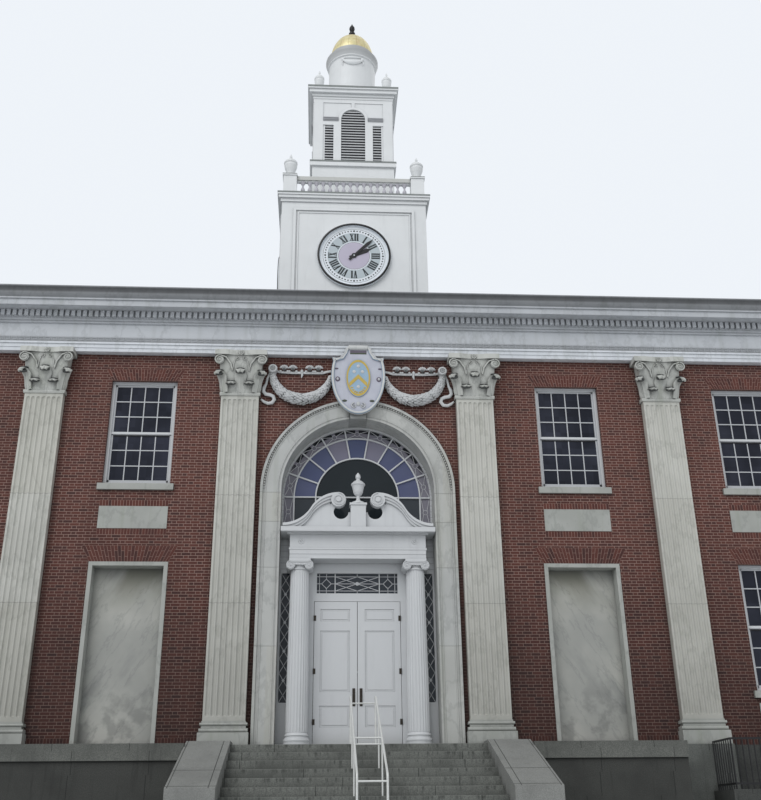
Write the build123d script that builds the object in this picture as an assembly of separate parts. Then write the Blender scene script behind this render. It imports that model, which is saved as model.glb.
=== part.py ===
from build123d import *
import os

# A brick and marble town hall with a giant order, an arched entrance and a clock tower.
# Millimetres. X runs to the right along the front, Y into the building, Z up from the ground.
# Y is 0 on the brick face of the front wall, and X is 0 on the middle of the entrance.

# Main block
half_width = 12400
depth = 16800
wall = 580
riser = 176
riser_count = 11
floor_z = riser * riser_count
order_height = 9135
slab = 300
ledge = 250
base_projection = 80
wall_top = floor_z + order_height

# Entablature, from the foot up
entablature_height = 1490
architrave_height = 240
ornament_band_height = 135
bed_height = 290
corona_height = 190
cyma_height = 265
cyma_reach = 130
corona_reach = 645
cornice_top = wall_top + entablature_height
deck_drop = 190
deck_top = cornice_top - deck_drop

# Roof
roof_pitch = 14
roof_rise = 1700
roof_edge = 350
roof_thickness = 180

# Giant pilasters
pilaster_width = 900
pilaster_depth = 180
pilaster_x = [2845, 7474, 11790]
pilaster_base_height = 530
pilaster_capital_height = 1120
plinth_width = 1060
plinth_depth = 300
plinth_height = 290
abacus_width = 1250
abacus_depth = 430
abacus_height = 130
astragal_height = 90
astragal_reach = 35
flute_count = 7
flute_spacing = 120
flute_radius = 46
flute_depth = 32
flute_margin = 130

# Windows and marble slabs
window_width = 1566
window_height = 2630
window_head_drop = 685
window_head_z = wall_top - window_head_drop
window_sill_z = window_head_z - window_height
upper_floor_drop = 1070
upper_floor_z = window_sill_z - upper_floor_drop
frame_set_back = 110
frame_depth = 120
frame_bar = 70
meeting_rail = 50
glass_set_back = 66
glass_thickness = 8
sill_height = 150
sill_overhang = 90
sill_projection = 70
panel_height = 525
panel_drop = 540
panel_z = window_sill_z - panel_drop - panel_height
slab_projection = 14
lower_head_drop = 775
lower_head_z = panel_z - lower_head_drop
lower_sill_rise = 1130
lower_sill_z = floor_z + lower_sill_rise
lower_height = lower_head_z - lower_sill_z
apron_height = 560
apron_drop = 260
side_bay = 3900
side_window_count = 4

# Blind niches
niche_width = 1760
niche_foot = 80
niche_frame = 90
niche_frame_projection = 20
niche_recess = 300
niche_slab = 60
niche_foot_z = floor_z + niche_foot

# Entrance arch
arch_outer = 2280
arch_inner = 1790
carving_room = 1155
spring_rise = order_height - arch_outer - carving_room
spring_z = floor_z + spring_rise
arch_projection = 80
arch_outer_band = 60
arch_inner_band = 40
arch_band_projection = 30
keystone_foot_half = 185
keystone_head_half = 225
keystone_front = -200
fit_gap = 0.3

# Entrance screen
screen_front = 480
screen_depth = 100
jamb_frame = 45
door_half_opening = 986
transom_half = 930
transom_height = 465
sidelight_inner = 1545
sidelight_bottom = 970
head_rail = 220
door_rail = 185
fan_drop = 750
fan_foot_z = spring_z - fan_drop
fan_bar = 32
fan_outer_ring = 1505
fan_inner_ring = 990
fan_bays = 9
fan_bar_set_back = 25
fan_bar_depth = 40

# Doors
leaf_thickness = 50
leaf_proud = 8
leaf_gap = 10
meeting_gap = 12
leaf_floor_gap = 12
knuckle_radius = 11
knuckle_length = 120
meeting_stile = 165
hinge_stile = 140
panel_sink = 14
panel_bevel = 45
handle_x = 75
handle_low = 930
handle_high = 1230
handle_radius = 11
handle_reach = 45

# Entrance order
column_x = 1320
column_foot_radius = 228
column_base_reach = 62
column_y = screen_front - column_foot_radius - column_base_reach - 5
column_head_radius = 196
spring_over_columns = 1630
column_height = spring_rise - spring_over_columns
column_base_height = 300
column_neck_drop = 250
column_abacus_height = 70
volute_radius = 100
volute_spread = 208
door_frieze_half = 1560
door_frieze_front = -10
door_architrave_height = 205
door_frieze_height = 560
door_cornice_height = 137
door_bed_height = 30
door_cornice_half = arch_inner - 20
door_cornice_front = -210
door_frieze_foot = column_height + 6
door_frieze_top = door_frieze_foot + door_frieze_height
door_cornice_top = door_frieze_top + door_cornice_height
transom_top = column_height - head_rail
transom_bottom = transom_top - transom_height
sidelight_top = transom_top
door_top = transom_bottom - door_rail
upper_panel_foot = door_top - 455
upper_panel_top = door_top - 180
middle_panel_top = door_top - 667
panel_rows = [(450, 900), (1195, middle_panel_top), (upper_panel_foot, upper_panel_top)]
knuckle_z = [560, 1640, door_top - 385]

# Swan neck pediment
scroll_eye_x = 455
scroll_eye_rise = 660
scroll_radius = 172
scroll_band = 190
scroll_depth = 190
scroll_step = 30
scroll_foot = 95
tympanum_set_back = 110
tympanum_step = 380
urn_pedestal_half = 175
urn_pedestal_height = 525
urn_radius = 165
urn_height = 775
tall_urn_shape = [
    (0, 0), (0.92, 0), (0.88, 0.05), (0.42, 0.09), (0.26, 0.14), (0.26, 0.24), (0.52, 0.29), (0.68, 0.36),
    (0.8, 0.5), (0.88, 0.56), (1, 0.59), (1, 0.63), (0.84, 0.66), (0.62, 0.71), (0.34, 0.74), (0.26, 0.78),
    (0.38, 0.84), (0.34, 0.91), (0.16, 0.96), (0.1, 0.985), (0, 1),
]

# Carved work over the arch
cartouche_rise = 215
cartouche_height = 1825
cartouche_half = 665
shoulder_half = 440
shoulder_drop = 330
crest_half = 225
roll_radius = 62
roll_y = -290
cartouche_front = -300
cartouche_back = -221
cartouche_rim = 75
rim_relief = 40
backing_half = 330
backing_inset = 20
shield_half = 300
shield_half_height = 500
shield_drop = 880
shield_relief = 25
garland_radius = 112
garland_inner_x = 690
garland_outer_x = 2080
garland_sag = 770
rosette_drop = 435
rosette_radius = 150
rosette_depth = 190

# Clock stage
tower_y = 4880
clock_half = 2150
clock_wall = 250
clock_rise = 4995
clock_top = cornice_top + clock_rise
clock_cornice_height = 300
clock_cornice_projection = 130
dial_drop = 1845
dial_z = clock_top - dial_drop
dial_ring_radius = 1065
dial_radius = 1010
dial_ring_depth = 100
dial_depth = 40
clock_panel_half = 1800
clock_panel_rise = 1625
clock_panel_fall = 1375
clock_bead = 80
clock_bead_depth = 40
spindle_radius = 20
minute_length = 800
hour_length = 560
minute_width = 62
hour_width = 84
hand_boss = 55
hand_thickness = 9
hand_gap = 7
minute_angle = 45
hour_angle = 63.75

# Balustrade and urns
tower_deck = clock_top + clock_cornice_height
rail_height = 740
foot_rail = 120
top_rail = 190
post_width = 400
post_inset = 20
post_cap = 40
post_cap_reach = 25
baluster_spacing = 212
baluster_half = 56
rail_depth = 150
large_urn_radius = 205
large_urn_height = 860
small_urn_radius = 165
small_urn_height = 900
small_urn_inset = 355
round_urn_shape = [
    (0, 0), (0.66, 0), (0.66, 0.05), (0.5, 0.09), (0.58, 0.18), (0.82, 0.32), (0.96, 0.46), (0.9, 0.53),
    (1, 0.56), (1, 0.61), (0.86, 0.66), (0.56, 0.73), (0.26, 0.77), (0.14, 0.81), (0.2, 0.87), (0.14, 0.93),
    (0, 1),
]

# Belfry
pedestal_half = 1290
pedestal_rise = 2150
pedestal_cap = 190
pedestal_cap_reach = 70
pedestal_top = clock_top + pedestal_rise
belfry_half = 1265
belfry_wall = 220
belfry_height = 2330
belfry_top = pedestal_top + belfry_height
belfry_arch = 385
arch_drop = 640
belfry_spring = belfry_top - arch_drop
sill_step = 15
belfry_sill = pedestal_top + sill_step
side_louvre_in = 630
side_louvre_out = 905
side_louvre_drop = 890
side_louvre_top = belfry_top - side_louvre_drop
belfry_trim = 25
corner_strip = 300
arch_trim = 85
keystone_half = 55
impost_height = 150
louvre_set_back = 70
louvre_thickness = 60
belfry_cornice_height = 560
belfry_cornice_top = belfry_top + belfry_cornice_height
belfry_cornice_half = 1465

# Drum, dome and finial
drum_radius = 790
drum_foot_rise = 620
drum_rise = 1950
drum_foot = belfry_cornice_top + drum_foot_rise
drum_top = belfry_cornice_top + drum_rise
drum_cornice_radius = 897
dome_foot_rise = 430
dome_foot = drum_top + dome_foot_rise
dome_radius = 735
dome_height = 1030
dome_flat = 12
shell = 60
finial_height = 658

# Front steps and terraces
tread = 360
landing_front = -900
stair_half = 2620
cheek_width = 880
cheek_rise = 70
cheek_end = -3650
cheek_slope_start = -950
cheek_drop = 990
terrace_front = -1350
terrace_left_end = -8200
terrace_right_end = 6640
coping_height = 320
coping_overhang = 60

# Middle handrail of the steps
handrail_x = 70
handrail_spacing = 520
handrail_height = 920
handrail_radius = 21
handrail_post_radius = 16
handrail_bend = 110
handrail_start = -760
handrail_posts = [3, 6]
cross_pipe_drop = 110

# Railed area beside the right terrace
area_left = 7530
area_right = 11790
area_front = -1350
kerb_width = 220
kerb_drop = 940
railing_top = 50
railing_bar = 40
picket = 18
picket_spacing = 120
picket_reach = 90


def block(x0, x1, y0, y1, z0, z1):
    return Pos((x0 + x1) / 2, (y0 + y1) / 2, (z0 + z1) / 2) * Box(x1 - x0, y1 - y0, z1 - z0)


def elevation(face, y0, y1):
    """A face drawn on X and Z, made solid from y0 to y1."""
    return Pos(0, y1, 0) * extrude(Plane.XZ * face, amount=y1 - y0)


def side_profile(points, x0, x1):
    """A closed outline of (y, z) points, made solid from x0 to x1."""
    return Pos(x0, 0, 0) * extrude(Plane.YZ * outline(points), amount=x1 - x0)


def outline(points):
    return make_face(Polyline(*points, close=True))


def rectangle(x0, x1, z0, z1):
    return Pos((x0 + x1) / 2, (z0 + z1) / 2) * Rectangle(x1 - x0, z1 - z0)


def disc(x, z, radius):
    return Pos(x, z) * Circle(radius)


def ring(x, z, outer, inner):
    return disc(x, z, outer) - disc(x, z, inner)


def both_sides(shape):
    return [shape, mirror(shape, about=Plane.YZ)]


def joined(shapes):
    body = shapes[0]
    for shape in shapes[1:]:
        body += shape
    return body


def turned(points, x=0, y=0):
    """A turned solid from a closed outline of (radius, z) points."""
    return Pos(x, y, 0) * revolve(Plane.XZ * outline(points), Axis.Z)


def square_course(half, z0, z1, middle_y):
    return block(-half, half, middle_y - half, middle_y + half, z0, z1)


def tower_course(half, z0, z1):
    return square_course(half, z0, z1, tower_y)


def four_faces(shape):
    """Copies of a shape on the four sides of the tower, turned about its middle."""
    middle = Pos(0, tower_y, 0)
    return [middle * Rot(0, 0, 90 * k) * Pos(0, -tower_y, 0) * shape for k in range(4)]


def save(name, shapes):
    solids = [s for shape in shapes for s in shape.solids()]
    export_step(Compound(solids), f"parts/{name}.step")


# Each wall has its own frame: local X along the wall, local Y inward, local Z up
front = Pos(0, 0, 0)
back = Pos(0, depth, 0) * Rot(0, 0, 180)
left = Pos(-half_width, depth / 2, 0) * Rot(0, 0, -90)
right = Pos(half_width, depth / 2, 0) * Rot(0, 0, 90)
inner_bay_x = (pilaster_x[0] + pilaster_x[1]) / 2
outer_bay_x = (pilaster_x[1] + pilaster_x[2]) / 2
front_upper = [-outer_bay_x, -inner_bay_x, inner_bay_x, outer_bay_x]
front_lower = [-outer_bay_x, outer_bay_x]
back_row = [-outer_bay_x, -inner_bay_x, 0, inner_bay_x, outer_bay_x]
side_row = [(k - (side_window_count - 1) / 2) * side_bay for k in range(side_window_count)]
upper_places = [(front, front_upper), (back, back_row), (left, side_row), (right, side_row)]
lower_places = [(front, front_lower), (back, back_row), (left, side_row), (right, side_row)]


def at_places(shape, places):
    return [place * Pos(x, 0, 0) * shape for place, row in places for x in row]


def frame_ring(z0, z1, out, inner=wall):
    """A band round the building that stands out from the brick face."""
    outer = block(-half_width - out, half_width + out, -out, depth + out, z0, z1)
    return outer - block(-half_width + inner, half_width - inner, inner, depth - inner, z0, z1)


def floor_slab(top):
    x = half_width - wall
    return [block(-x, x, wall, depth - wall, top - slab, top)]


def window_holes(x, lower=True):
    half = window_width / 2
    rows = [(window_sill_z, window_head_z)]
    if lower:
        rows.append((lower_sill_z, lower_head_z))
    return [block(x - half, x + half, -wall, 2 * wall, z0, z1) for z0, z1 in rows]


def arch_face(radius, foot_z, centre_z=spring_z):
    """A half disc on upright sides."""
    below = rectangle(-radius, radius, foot_z - 2 * radius, foot_z)
    return disc(0, centre_z, radius) + rectangle(-radius, radius, foot_z, centre_z) - below


# Base, floors and roof
def base_walls():
    low = floor_z - slab
    foot = frame_ring(0, low, base_projection, wall + ledge)
    return [foot + frame_ring(low, floor_z, base_projection)]


def roof_body(drop):
    eave = Rectangle(2 * (half_width + roof_edge - drop), depth + 2 * (roof_edge - drop))
    return extrude(Pos(0, depth / 2, cornice_top) * eave, amount=roof_rise - drop, taper=90 - roof_pitch)


def hipped_roof():
    return [roof_body(0) - roof_body(roof_thickness) - tower_course(clock_half, 0, 2 * cornice_top)]


# Walls
def front_wall_half():
    """The wall left of the arch, cut round it above the springing."""
    edge = arch_outer + wall / 4
    body = block(-half_width, -edge, 0, wall, floor_z, wall_top)
    body += block(-edge, -arch_outer, 0, wall, floor_z, spring_z)
    half = niche_width / 2
    holes = window_holes(-inner_bay_x, lower=False) + window_holes(-outer_bay_x)
    holes.append(block(-inner_bay_x - half, -inner_bay_x + half, -wall, niche_recess + niche_slab,
                       niche_foot_z, lower_head_z))
    return body - holes


def wall_over_arch():
    edge = arch_outer + wall / 4
    face = rectangle(-edge, edge, spring_z, wall_top) - disc(0, spring_z, arch_outer)
    return [elevation(face, 0, wall)]


def plain_wall(place, half_length, row):
    body = block(-half_length, half_length, 0, wall, floor_z, wall_top)
    return [place * (body - [hole for x in row for hole in window_holes(x)])]


# Giant order
def pilaster_pedestals():
    """Granite piers under the pilasters that stand clear of the terraces and the cheek walls."""
    half = plinth_width / 2
    foot = -base_projection - plinth_depth
    places = [-pilaster_x[2], pilaster_x[1], pilaster_x[2]]
    return [block(x - half, x + half, foot, -base_projection, 0, floor_z) for x in places]


def rounded_course(x, half, reach, z0, z1):
    course = block(x - half, x + half, -reach, 0, z0, z1)
    front_edges = course.edges().filter_by(Axis.X).group_by(Axis.Y)[0]
    return fillet(front_edges, (z1 - z0) * 0.48)


def plain_course(x, half, reach, z0, z1):
    return block(x - half, x + half, -reach, 0, z0, z1)


def pilaster_base(x):
    """Plinth, lower torus, scotia, upper torus and fillet."""
    z0 = floor_z
    half = pilaster_width / 2
    low = z0 + plinth_height
    rest = pilaster_base_height - plinth_height
    body = plain_course(x, plinth_width / 2, plinth_depth, z0, low)
    body += rounded_course(x, half + 60, pilaster_depth + 60, low, low + 0.375 * rest)
    body += plain_course(x, half + 20, pilaster_depth + 20, low + 0.375 * rest, low + 0.6 * rest)
    body += rounded_course(x, half + 50, pilaster_depth + 50, low + 0.6 * rest, low + 0.85 * rest)
    body += plain_course(x, half + 15, pilaster_depth + 15, low + 0.85 * rest, low + rest)
    return body


def pilaster_shaft(x):
    """A flat shaft with round-ended flutes cut into its face."""
    half = pilaster_width / 2
    z0 = floor_z + pilaster_base_height
    z1 = wall_top - pilaster_capital_height
    body = block(x - half, x + half, -pilaster_depth, 0, z0, z1)
    centre_y = -pilaster_depth - flute_radius + flute_depth
    low = z0 + flute_margin
    high = z1 - flute_margin
    for k in range(flute_count):
        flute_x = x + (k - (flute_count - 1) / 2) * flute_spacing
        groove = Pos(flute_x, centre_y, (low + high) / 2) * Cylinder(flute_radius, high - low)
        groove += Pos(flute_x, centre_y, low) * Sphere(flute_radius)
        groove += Pos(flute_x, centre_y, high) * Sphere(flute_radius)
        body -= groove
    return body


def pilaster_capital(x):
    """Bell, corner volutes and hollow-sided abacus of a Corinthian capital."""
    z0 = wall_top - pilaster_capital_height
    z1 = wall_top - abacus_height
    bell_foot = Pos(x, -pilaster_depth / 2, z0 + astragal_height) * Rectangle(pilaster_width, pilaster_depth)
    bell_depth = 0.84 * abacus_depth
    bell_head = Pos(x, -bell_depth / 2, z1) * Rectangle(0.84 * abacus_width, bell_depth)
    body = loft([bell_foot.face(), bell_head.face()])
    body += rounded_course(x, pilaster_width / 2 + astragal_reach, pilaster_depth + astragal_reach, z0,
                           z0 + astragal_height)
    top = block(x - abacus_width / 2, x + abacus_width / 2, -abacus_depth, 0, z1, wall_top)
    hollow_radius = 0.96 * abacus_width
    hollow = Pos(x, -abacus_depth - 0.96 * hollow_radius, z1) * Cylinder(hollow_radius, 4 * abacus_height)
    body += top - hollow
    volute = 0.7 * abacus_height
    for side in (-1, 1):
        scroll = Pos(x + side * 0.41 * abacus_width, -0.76 * abacus_depth, z1 - 1.06 * volute) * Rot(90, 0, 0)
        body += scroll * Cylinder(volute, 0.34 * abacus_depth)
    return body


def on_pilasters(make):
    return [shape for x in pilaster_x for shape in both_sides(make(x))]


# Entablature: foot, top and projection of each course, above the walls
ornament_top = architrave_height + ornament_band_height
bed_foot = entablature_height - cyma_height - corona_height - bed_height
corona_foot = bed_foot + bed_height
corona_top = corona_foot + corona_height
architrave_courses = [
    (0, 0.4 * architrave_height, pilaster_depth),
    (0.4 * architrave_height, 0.8 * architrave_height, pilaster_depth + 15),
    (0.8 * architrave_height, architrave_height, pilaster_depth + 40),
    (architrave_height, ornament_top, pilaster_depth + 20),
    (ornament_top, bed_foot, pilaster_depth + 5),
]
bed_courses = [
    (bed_foot, bed_foot + 0.19 * bed_height, pilaster_depth + 50),
    (bed_foot + 0.19 * bed_height, bed_foot + 0.4 * bed_height, pilaster_depth + 85),
    (bed_foot + 0.4 * bed_height, corona_foot, pilaster_depth + 110),
]
corona_courses = [
    (corona_foot, corona_foot + 0.8 * corona_height, corona_reach - 35),
    (corona_foot + 0.8 * corona_height, corona_top, corona_reach),
]


def stacked(courses):
    return joined([frame_ring(wall_top + z0, wall_top + z1, out) for z0, z1, out in courses])


def cyma_section():
    """The crown moulding's outline, out from the corona's face and up: two arcs under a fillet."""
    rise = 0.88 * cyma_height
    swell = 0.1 * cyma_reach
    low = ThreePointArc((0, 0), (cyma_reach / 4 + swell, rise / 4 - swell / 2), (cyma_reach / 2, rise / 2))
    high = ThreePointArc((cyma_reach / 2, rise / 2), (0.75 * cyma_reach - swell, 0.75 * rise + swell / 2),
                         (cyma_reach, rise))
    inside = -corona_reach - wall
    lid = Polyline((cyma_reach, rise), (cyma_reach, cyma_height), (inside, cyma_height), (inside, 0), (0, 0))
    return make_face([low, high, lid])


def cyma_run(place, half_length):
    """One side of the crown moulding, mitred at both ends."""
    x = half_length + corona_reach + cyma_reach
    start = Plane(origin=(x, -corona_reach, wall_top + corona_top), x_dir=(0, -1, 0), z_dir=(-1, 0, 0))
    run = extrude(start * cyma_section(), amount=2 * x)
    edge = -corona_reach - cyma_reach
    inner = half_length - wall
    mitre = outline([(-x, edge), (x, edge), (inner, wall), (-inner, wall)])
    return place * (run & (Pos(0, 0, wall_top + corona_top) * extrude(mitre, amount=cyma_height)))


def main_cornice():
    sides = [(front, half_width), (back, half_width), (left, depth / 2), (right, depth / 2)]
    return [joined([stacked(corona_courses)] + [cyma_run(place, length) for place, length in sides])]


# Slabs, sills and windows
def marble_slabs():
    half = window_width / 2
    panel = block(-half, half, -slab_projection, 0, panel_z, panel_z + panel_height)
    apron_top = lower_sill_z - apron_drop
    apron = block(-half, half, -slab_projection, 0, apron_top - apron_height, apron_top)
    return at_places(panel, upper_places) + at_places(apron, lower_places)


def window_sills():
    half = window_width / 2 + sill_overhang
    sill = block(-half, half, -sill_projection, 0, -sill_height, 0)
    upper = at_places(Pos(0, 0, window_sill_z) * sill, upper_places)
    return upper + at_places(Pos(0, 0, lower_sill_z) * sill, lower_places)


def window_frame(height):
    half = window_width / 2
    inner = half - frame_bar
    rim = rectangle(-half, half, 0, height) - rectangle(-inner, inner, frame_bar, height - frame_bar)
    body = elevation(rim, frame_set_back, frame_set_back + frame_depth)
    middle = height / 2
    rail = block(-inner, inner, frame_set_back + 20, frame_set_back + glass_set_back,
                 middle - meeting_rail / 2, middle + meeting_rail / 2)
    return body + rail


def window_pane(height):
    half = window_width / 2 - frame_bar
    y0 = frame_set_back + glass_set_back
    return block(-half, half, y0, y0 + glass_thickness, frame_bar, height - frame_bar)


def at_windows(make):
    upper = at_places(Pos(0, 0, window_sill_z) * make(window_height), upper_places)
    return upper + at_places(Pos(0, 0, lower_sill_z) * make(lower_height), lower_places)


def at_niches(shape):
    return [Pos(side * inner_bay_x, 0, 0) * shape for side in (-1, 1)]


def niche_frames():
    half = niche_width / 2
    inner = half - niche_frame
    rim = rectangle(-half, half, niche_foot_z, lower_head_z)
    rim -= rectangle(-inner, inner, niche_foot_z - niche_frame, lower_head_z - niche_frame)
    return at_niches(elevation(rim, -niche_frame_projection, niche_recess))


def niche_slabs():
    half = niche_width / 2
    return at_niches(block(-half, half, niche_recess, niche_recess + niche_slab, niche_foot_z, lower_head_z))


# Entrance
def entrance_arch():
    opening = arch_face(arch_inner, floor_z)
    whole = arch_face(arch_outer, floor_z)
    body = elevation(whole - opening, -arch_projection, wall)
    outer_band = whole - arch_face(arch_outer - arch_outer_band, floor_z)
    inner_band = arch_face(arch_inner + arch_inner_band, floor_z) - opening
    body += elevation(outer_band, -arch_projection - arch_band_projection, -arch_projection)
    body += elevation(inner_band, -arch_projection - arch_band_projection / 2, -arch_projection)
    foot = spring_z + arch_inner - arch_inner_band
    head = spring_z + arch_outer - arch_outer_band / 2
    keystone = outline([(-keystone_foot_half, foot), (keystone_foot_half, foot), (keystone_head_half, head),
                        (-keystone_head_half, head)])
    return [body + elevation(keystone, keystone_front, -arch_projection / 2)]


def screen_face():
    """The white timber wall inside the arch, with its door, sidelight and fanlight openings."""
    face = arch_face(arch_inner - fit_gap, floor_z)
    half = arch_inner - jamb_frame
    face -= rectangle(-door_half_opening, door_half_opening, floor_z, floor_z + door_top)
    face -= rectangle(-transom_half, transom_half, floor_z + transom_bottom, floor_z + transom_top)
    for inner, outer in ((-half, -sidelight_inner), (sidelight_inner, half)):
        face -= rectangle(inner, outer, floor_z + sidelight_bottom, floor_z + sidelight_top)
    return face - arch_face(half, fan_foot_z)


def entrance_screen():
    return [elevation(screen_face(), screen_front, screen_front + screen_depth)]


def fanlight_bars():
    """Two stilted rings and the spokes between them."""
    outer = arch_inner - jamb_frame
    half = fan_bar / 2
    bars = rectangle(-outer, outer, spring_z - half, spring_z + half)
    for radius in (fan_outer_ring, fan_inner_ring):
        bars += arch_face(radius + half, fan_foot_z) - arch_face(radius - half, fan_foot_z)
    for k in range(1, fan_bays):
        spoke = rectangle(fan_inner_ring, arch_inner, -half, half)
        bars += Pos(0, spring_z) * Rot(0, 0, 180 * k / fan_bays) * spoke
    y0 = screen_front + fan_bar_set_back
    return [elevation(bars & arch_face(outer, fan_foot_z), y0, y0 + fan_bar_depth)]


def entrance_glass():
    outer = arch_inner - jamb_frame
    y0 = screen_front + fan_bar_set_back + fan_bar_depth
    y1 = y0 + glass_thickness
    sheets = [elevation(arch_face(outer - fit_gap, fan_foot_z), y0, y1)]
    sheets.append(block(-transom_half, transom_half, y0, y1, floor_z + transom_bottom, floor_z + transom_top))
    sidelight = block(sidelight_inner, outer, y0, y1, floor_z + sidelight_bottom, floor_z + sidelight_top)
    return sheets + both_sides(sidelight)


def entrance_column(side):
    """A slender column with an attic base, a slight taper and an Ionic capital."""
    z0 = floor_z
    foot = column_foot_radius
    head = column_head_radius
    top = floor_z + column_height
    neck = top - column_neck_drop
    base = column_base_height
    reach = foot + column_base_reach
    profile = [
        (0, z0), (reach, z0), (reach, z0 + 0.32 * base), (foot + 48, z0 + 0.34 * base),
        (foot + 60, z0 + 0.48 * base), (foot + 48, z0 + 0.62 * base), (foot + 22, z0 + 0.67 * base),
        (foot + 20, z0 + 0.75 * base), (foot + 34, z0 + 0.82 * base), (foot + 22, z0 + 0.92 * base),
        (foot, z0 + base), (foot - 4, z0 + 0.35 * column_height), (head, neck), (head + 22, neck + 8),
        (head + 22, neck + 36), (head, neck + 44), (head, top - 130),
        (head + 42, top - column_abacus_height), (0, top - column_abacus_height),
    ]
    x = side * column_x
    body = turned(profile, x, column_y)
    abacus = head + 45
    abacus_foot = top - column_abacus_height
    body += block(x - abacus, x + abacus, column_y - abacus, column_y + abacus, abacus_foot, top)
    volute_z = abacus_foot - 0.8 * volute_radius
    face = rectangle(x - volute_spread, x + volute_spread, volute_z, abacus_foot)
    face += disc(x - volute_spread, volute_z, volute_radius)
    face += disc(x + volute_spread, volute_z, volute_radius)
    return body + elevation(face, column_y - abacus + 10, column_y + abacus - 10)


def entrance_entablature():
    """Architrave, frieze and cornice over the columns."""
    foot = floor_z + door_frieze_foot
    top = floor_z + door_frieze_top
    lid = floor_z + door_cornice_top
    half = door_frieze_half
    face_y = door_frieze_front
    fillet_z = foot + door_architrave_height
    body = block(-half, half, face_y, screen_front, foot, top)
    body += block(-half - 20, half + 20, face_y - 20, screen_front, fillet_z, fillet_z + 40)
    body += block(-half, half, face_y - 10, screen_front, foot + 0.5 * door_architrave_height, fillet_z)
    bed = top + door_bed_height
    body += block(-half - 60, half + 60, face_y - 70, screen_front, top, bed)
    return [body + block(-door_cornice_half, door_cornice_half, door_cornice_front, screen_front, bed, lid)]


def swan_curve(start_x, start_z, end_x, end_z):
    """An S of two like arcs, level at both ends."""
    run = start_x - end_x
    rise = end_z - start_z
    radius = (run * run + rise * rise) / (4 * rise)
    middle = ((start_x + end_x) / 2, (start_z + end_z) / 2)
    low = RadiusArc((start_x, start_z), middle, radius)
    high = RadiusArc(middle, (end_x, end_z), -radius)
    return low, high


def swan_band(low_offset, high_offset):
    """The part of the curved cornice between two heights over its soffit."""
    foot = floor_z + door_cornice_top
    outer_x = door_cornice_half - 40
    eye_top = foot + scroll_eye_rise + scroll_radius
    under = swan_curve(outer_x, foot + low_offset - scroll_band + scroll_foot, scroll_eye_x,
                       eye_top - scroll_band + low_offset)
    over = swan_curve(outer_x, foot + high_offset - scroll_band + scroll_foot, scroll_eye_x,
                      eye_top - scroll_band + high_offset)
    ends = [Line(over[0] @ 0, under[0] @ 0), Line(over[1] @ 1, under[1] @ 1)]
    return make_face([*under, *over, *ends]) & rectangle(0, outer_x, foot, eye_top)


def swan_neck_pediment():
    """Two curved half gables that end in scrolls, over a tympanum with a round gap by each scroll."""
    foot = floor_z + door_cornice_top
    eye_z = foot + scroll_eye_rise
    front_y = door_cornice_front + 30
    back_y = front_y + scroll_depth
    third = scroll_band / 3
    half = joined([elevation(swan_band(k * third, (k + 1) * third), front_y + (2 - k) * scroll_step, back_y)
                   for k in range(3)])
    half += elevation(disc(scroll_eye_x, eye_z, scroll_radius), front_y, back_y)
    half += elevation(disc(scroll_eye_x, eye_z, 0.35 * scroll_radius), door_cornice_front, front_y)
    run = door_cornice_half - scroll_eye_x
    rise = eye_z - foot
    low_bend = (scroll_eye_x + 0.62 * run, foot + 0.2 * rise)
    high_bend = (scroll_eye_x + 0.38 * run, foot + 0.55 * rise)
    infill = outline([(urn_pedestal_half, foot), (door_cornice_half - 40, foot), low_bend, high_bend,
                      (scroll_eye_x + 60, eye_z), (urn_pedestal_half, eye_z)])
    infill -= rectangle(0, scroll_eye_x, foot + tympanum_step, eye_z + scroll_radius)
    infill -= disc(scroll_eye_x - 60, foot + tympanum_step + 10, scroll_radius)
    half += elevation(infill, front_y + tympanum_set_back, back_y)
    return both_sides(half)


def urn_outline(radius, z0, height, shape):
    """An urn's half section: each point a share of the radius and of the height, closed on the axis."""
    return [(radius * r, z0 + height * z) for r, z in shape]


def pediment_urn():
    """An urn with a foot, a stem, a tall bowl, a lid and a bud on a square pedestal."""
    z0 = floor_z + door_cornice_top
    z1 = z0 + urn_pedestal_height
    y = door_cornice_front + 140
    half = urn_pedestal_half
    body = block(-half, half, y - 120, y + 120, z0, z1)
    body += block(-half - 25, half + 25, y - 140, y + 140, z1, z1 + 50)
    return [body + turned(urn_outline(urn_radius, z1 + 50, urn_height, tall_urn_shape), 0, y)]


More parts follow.
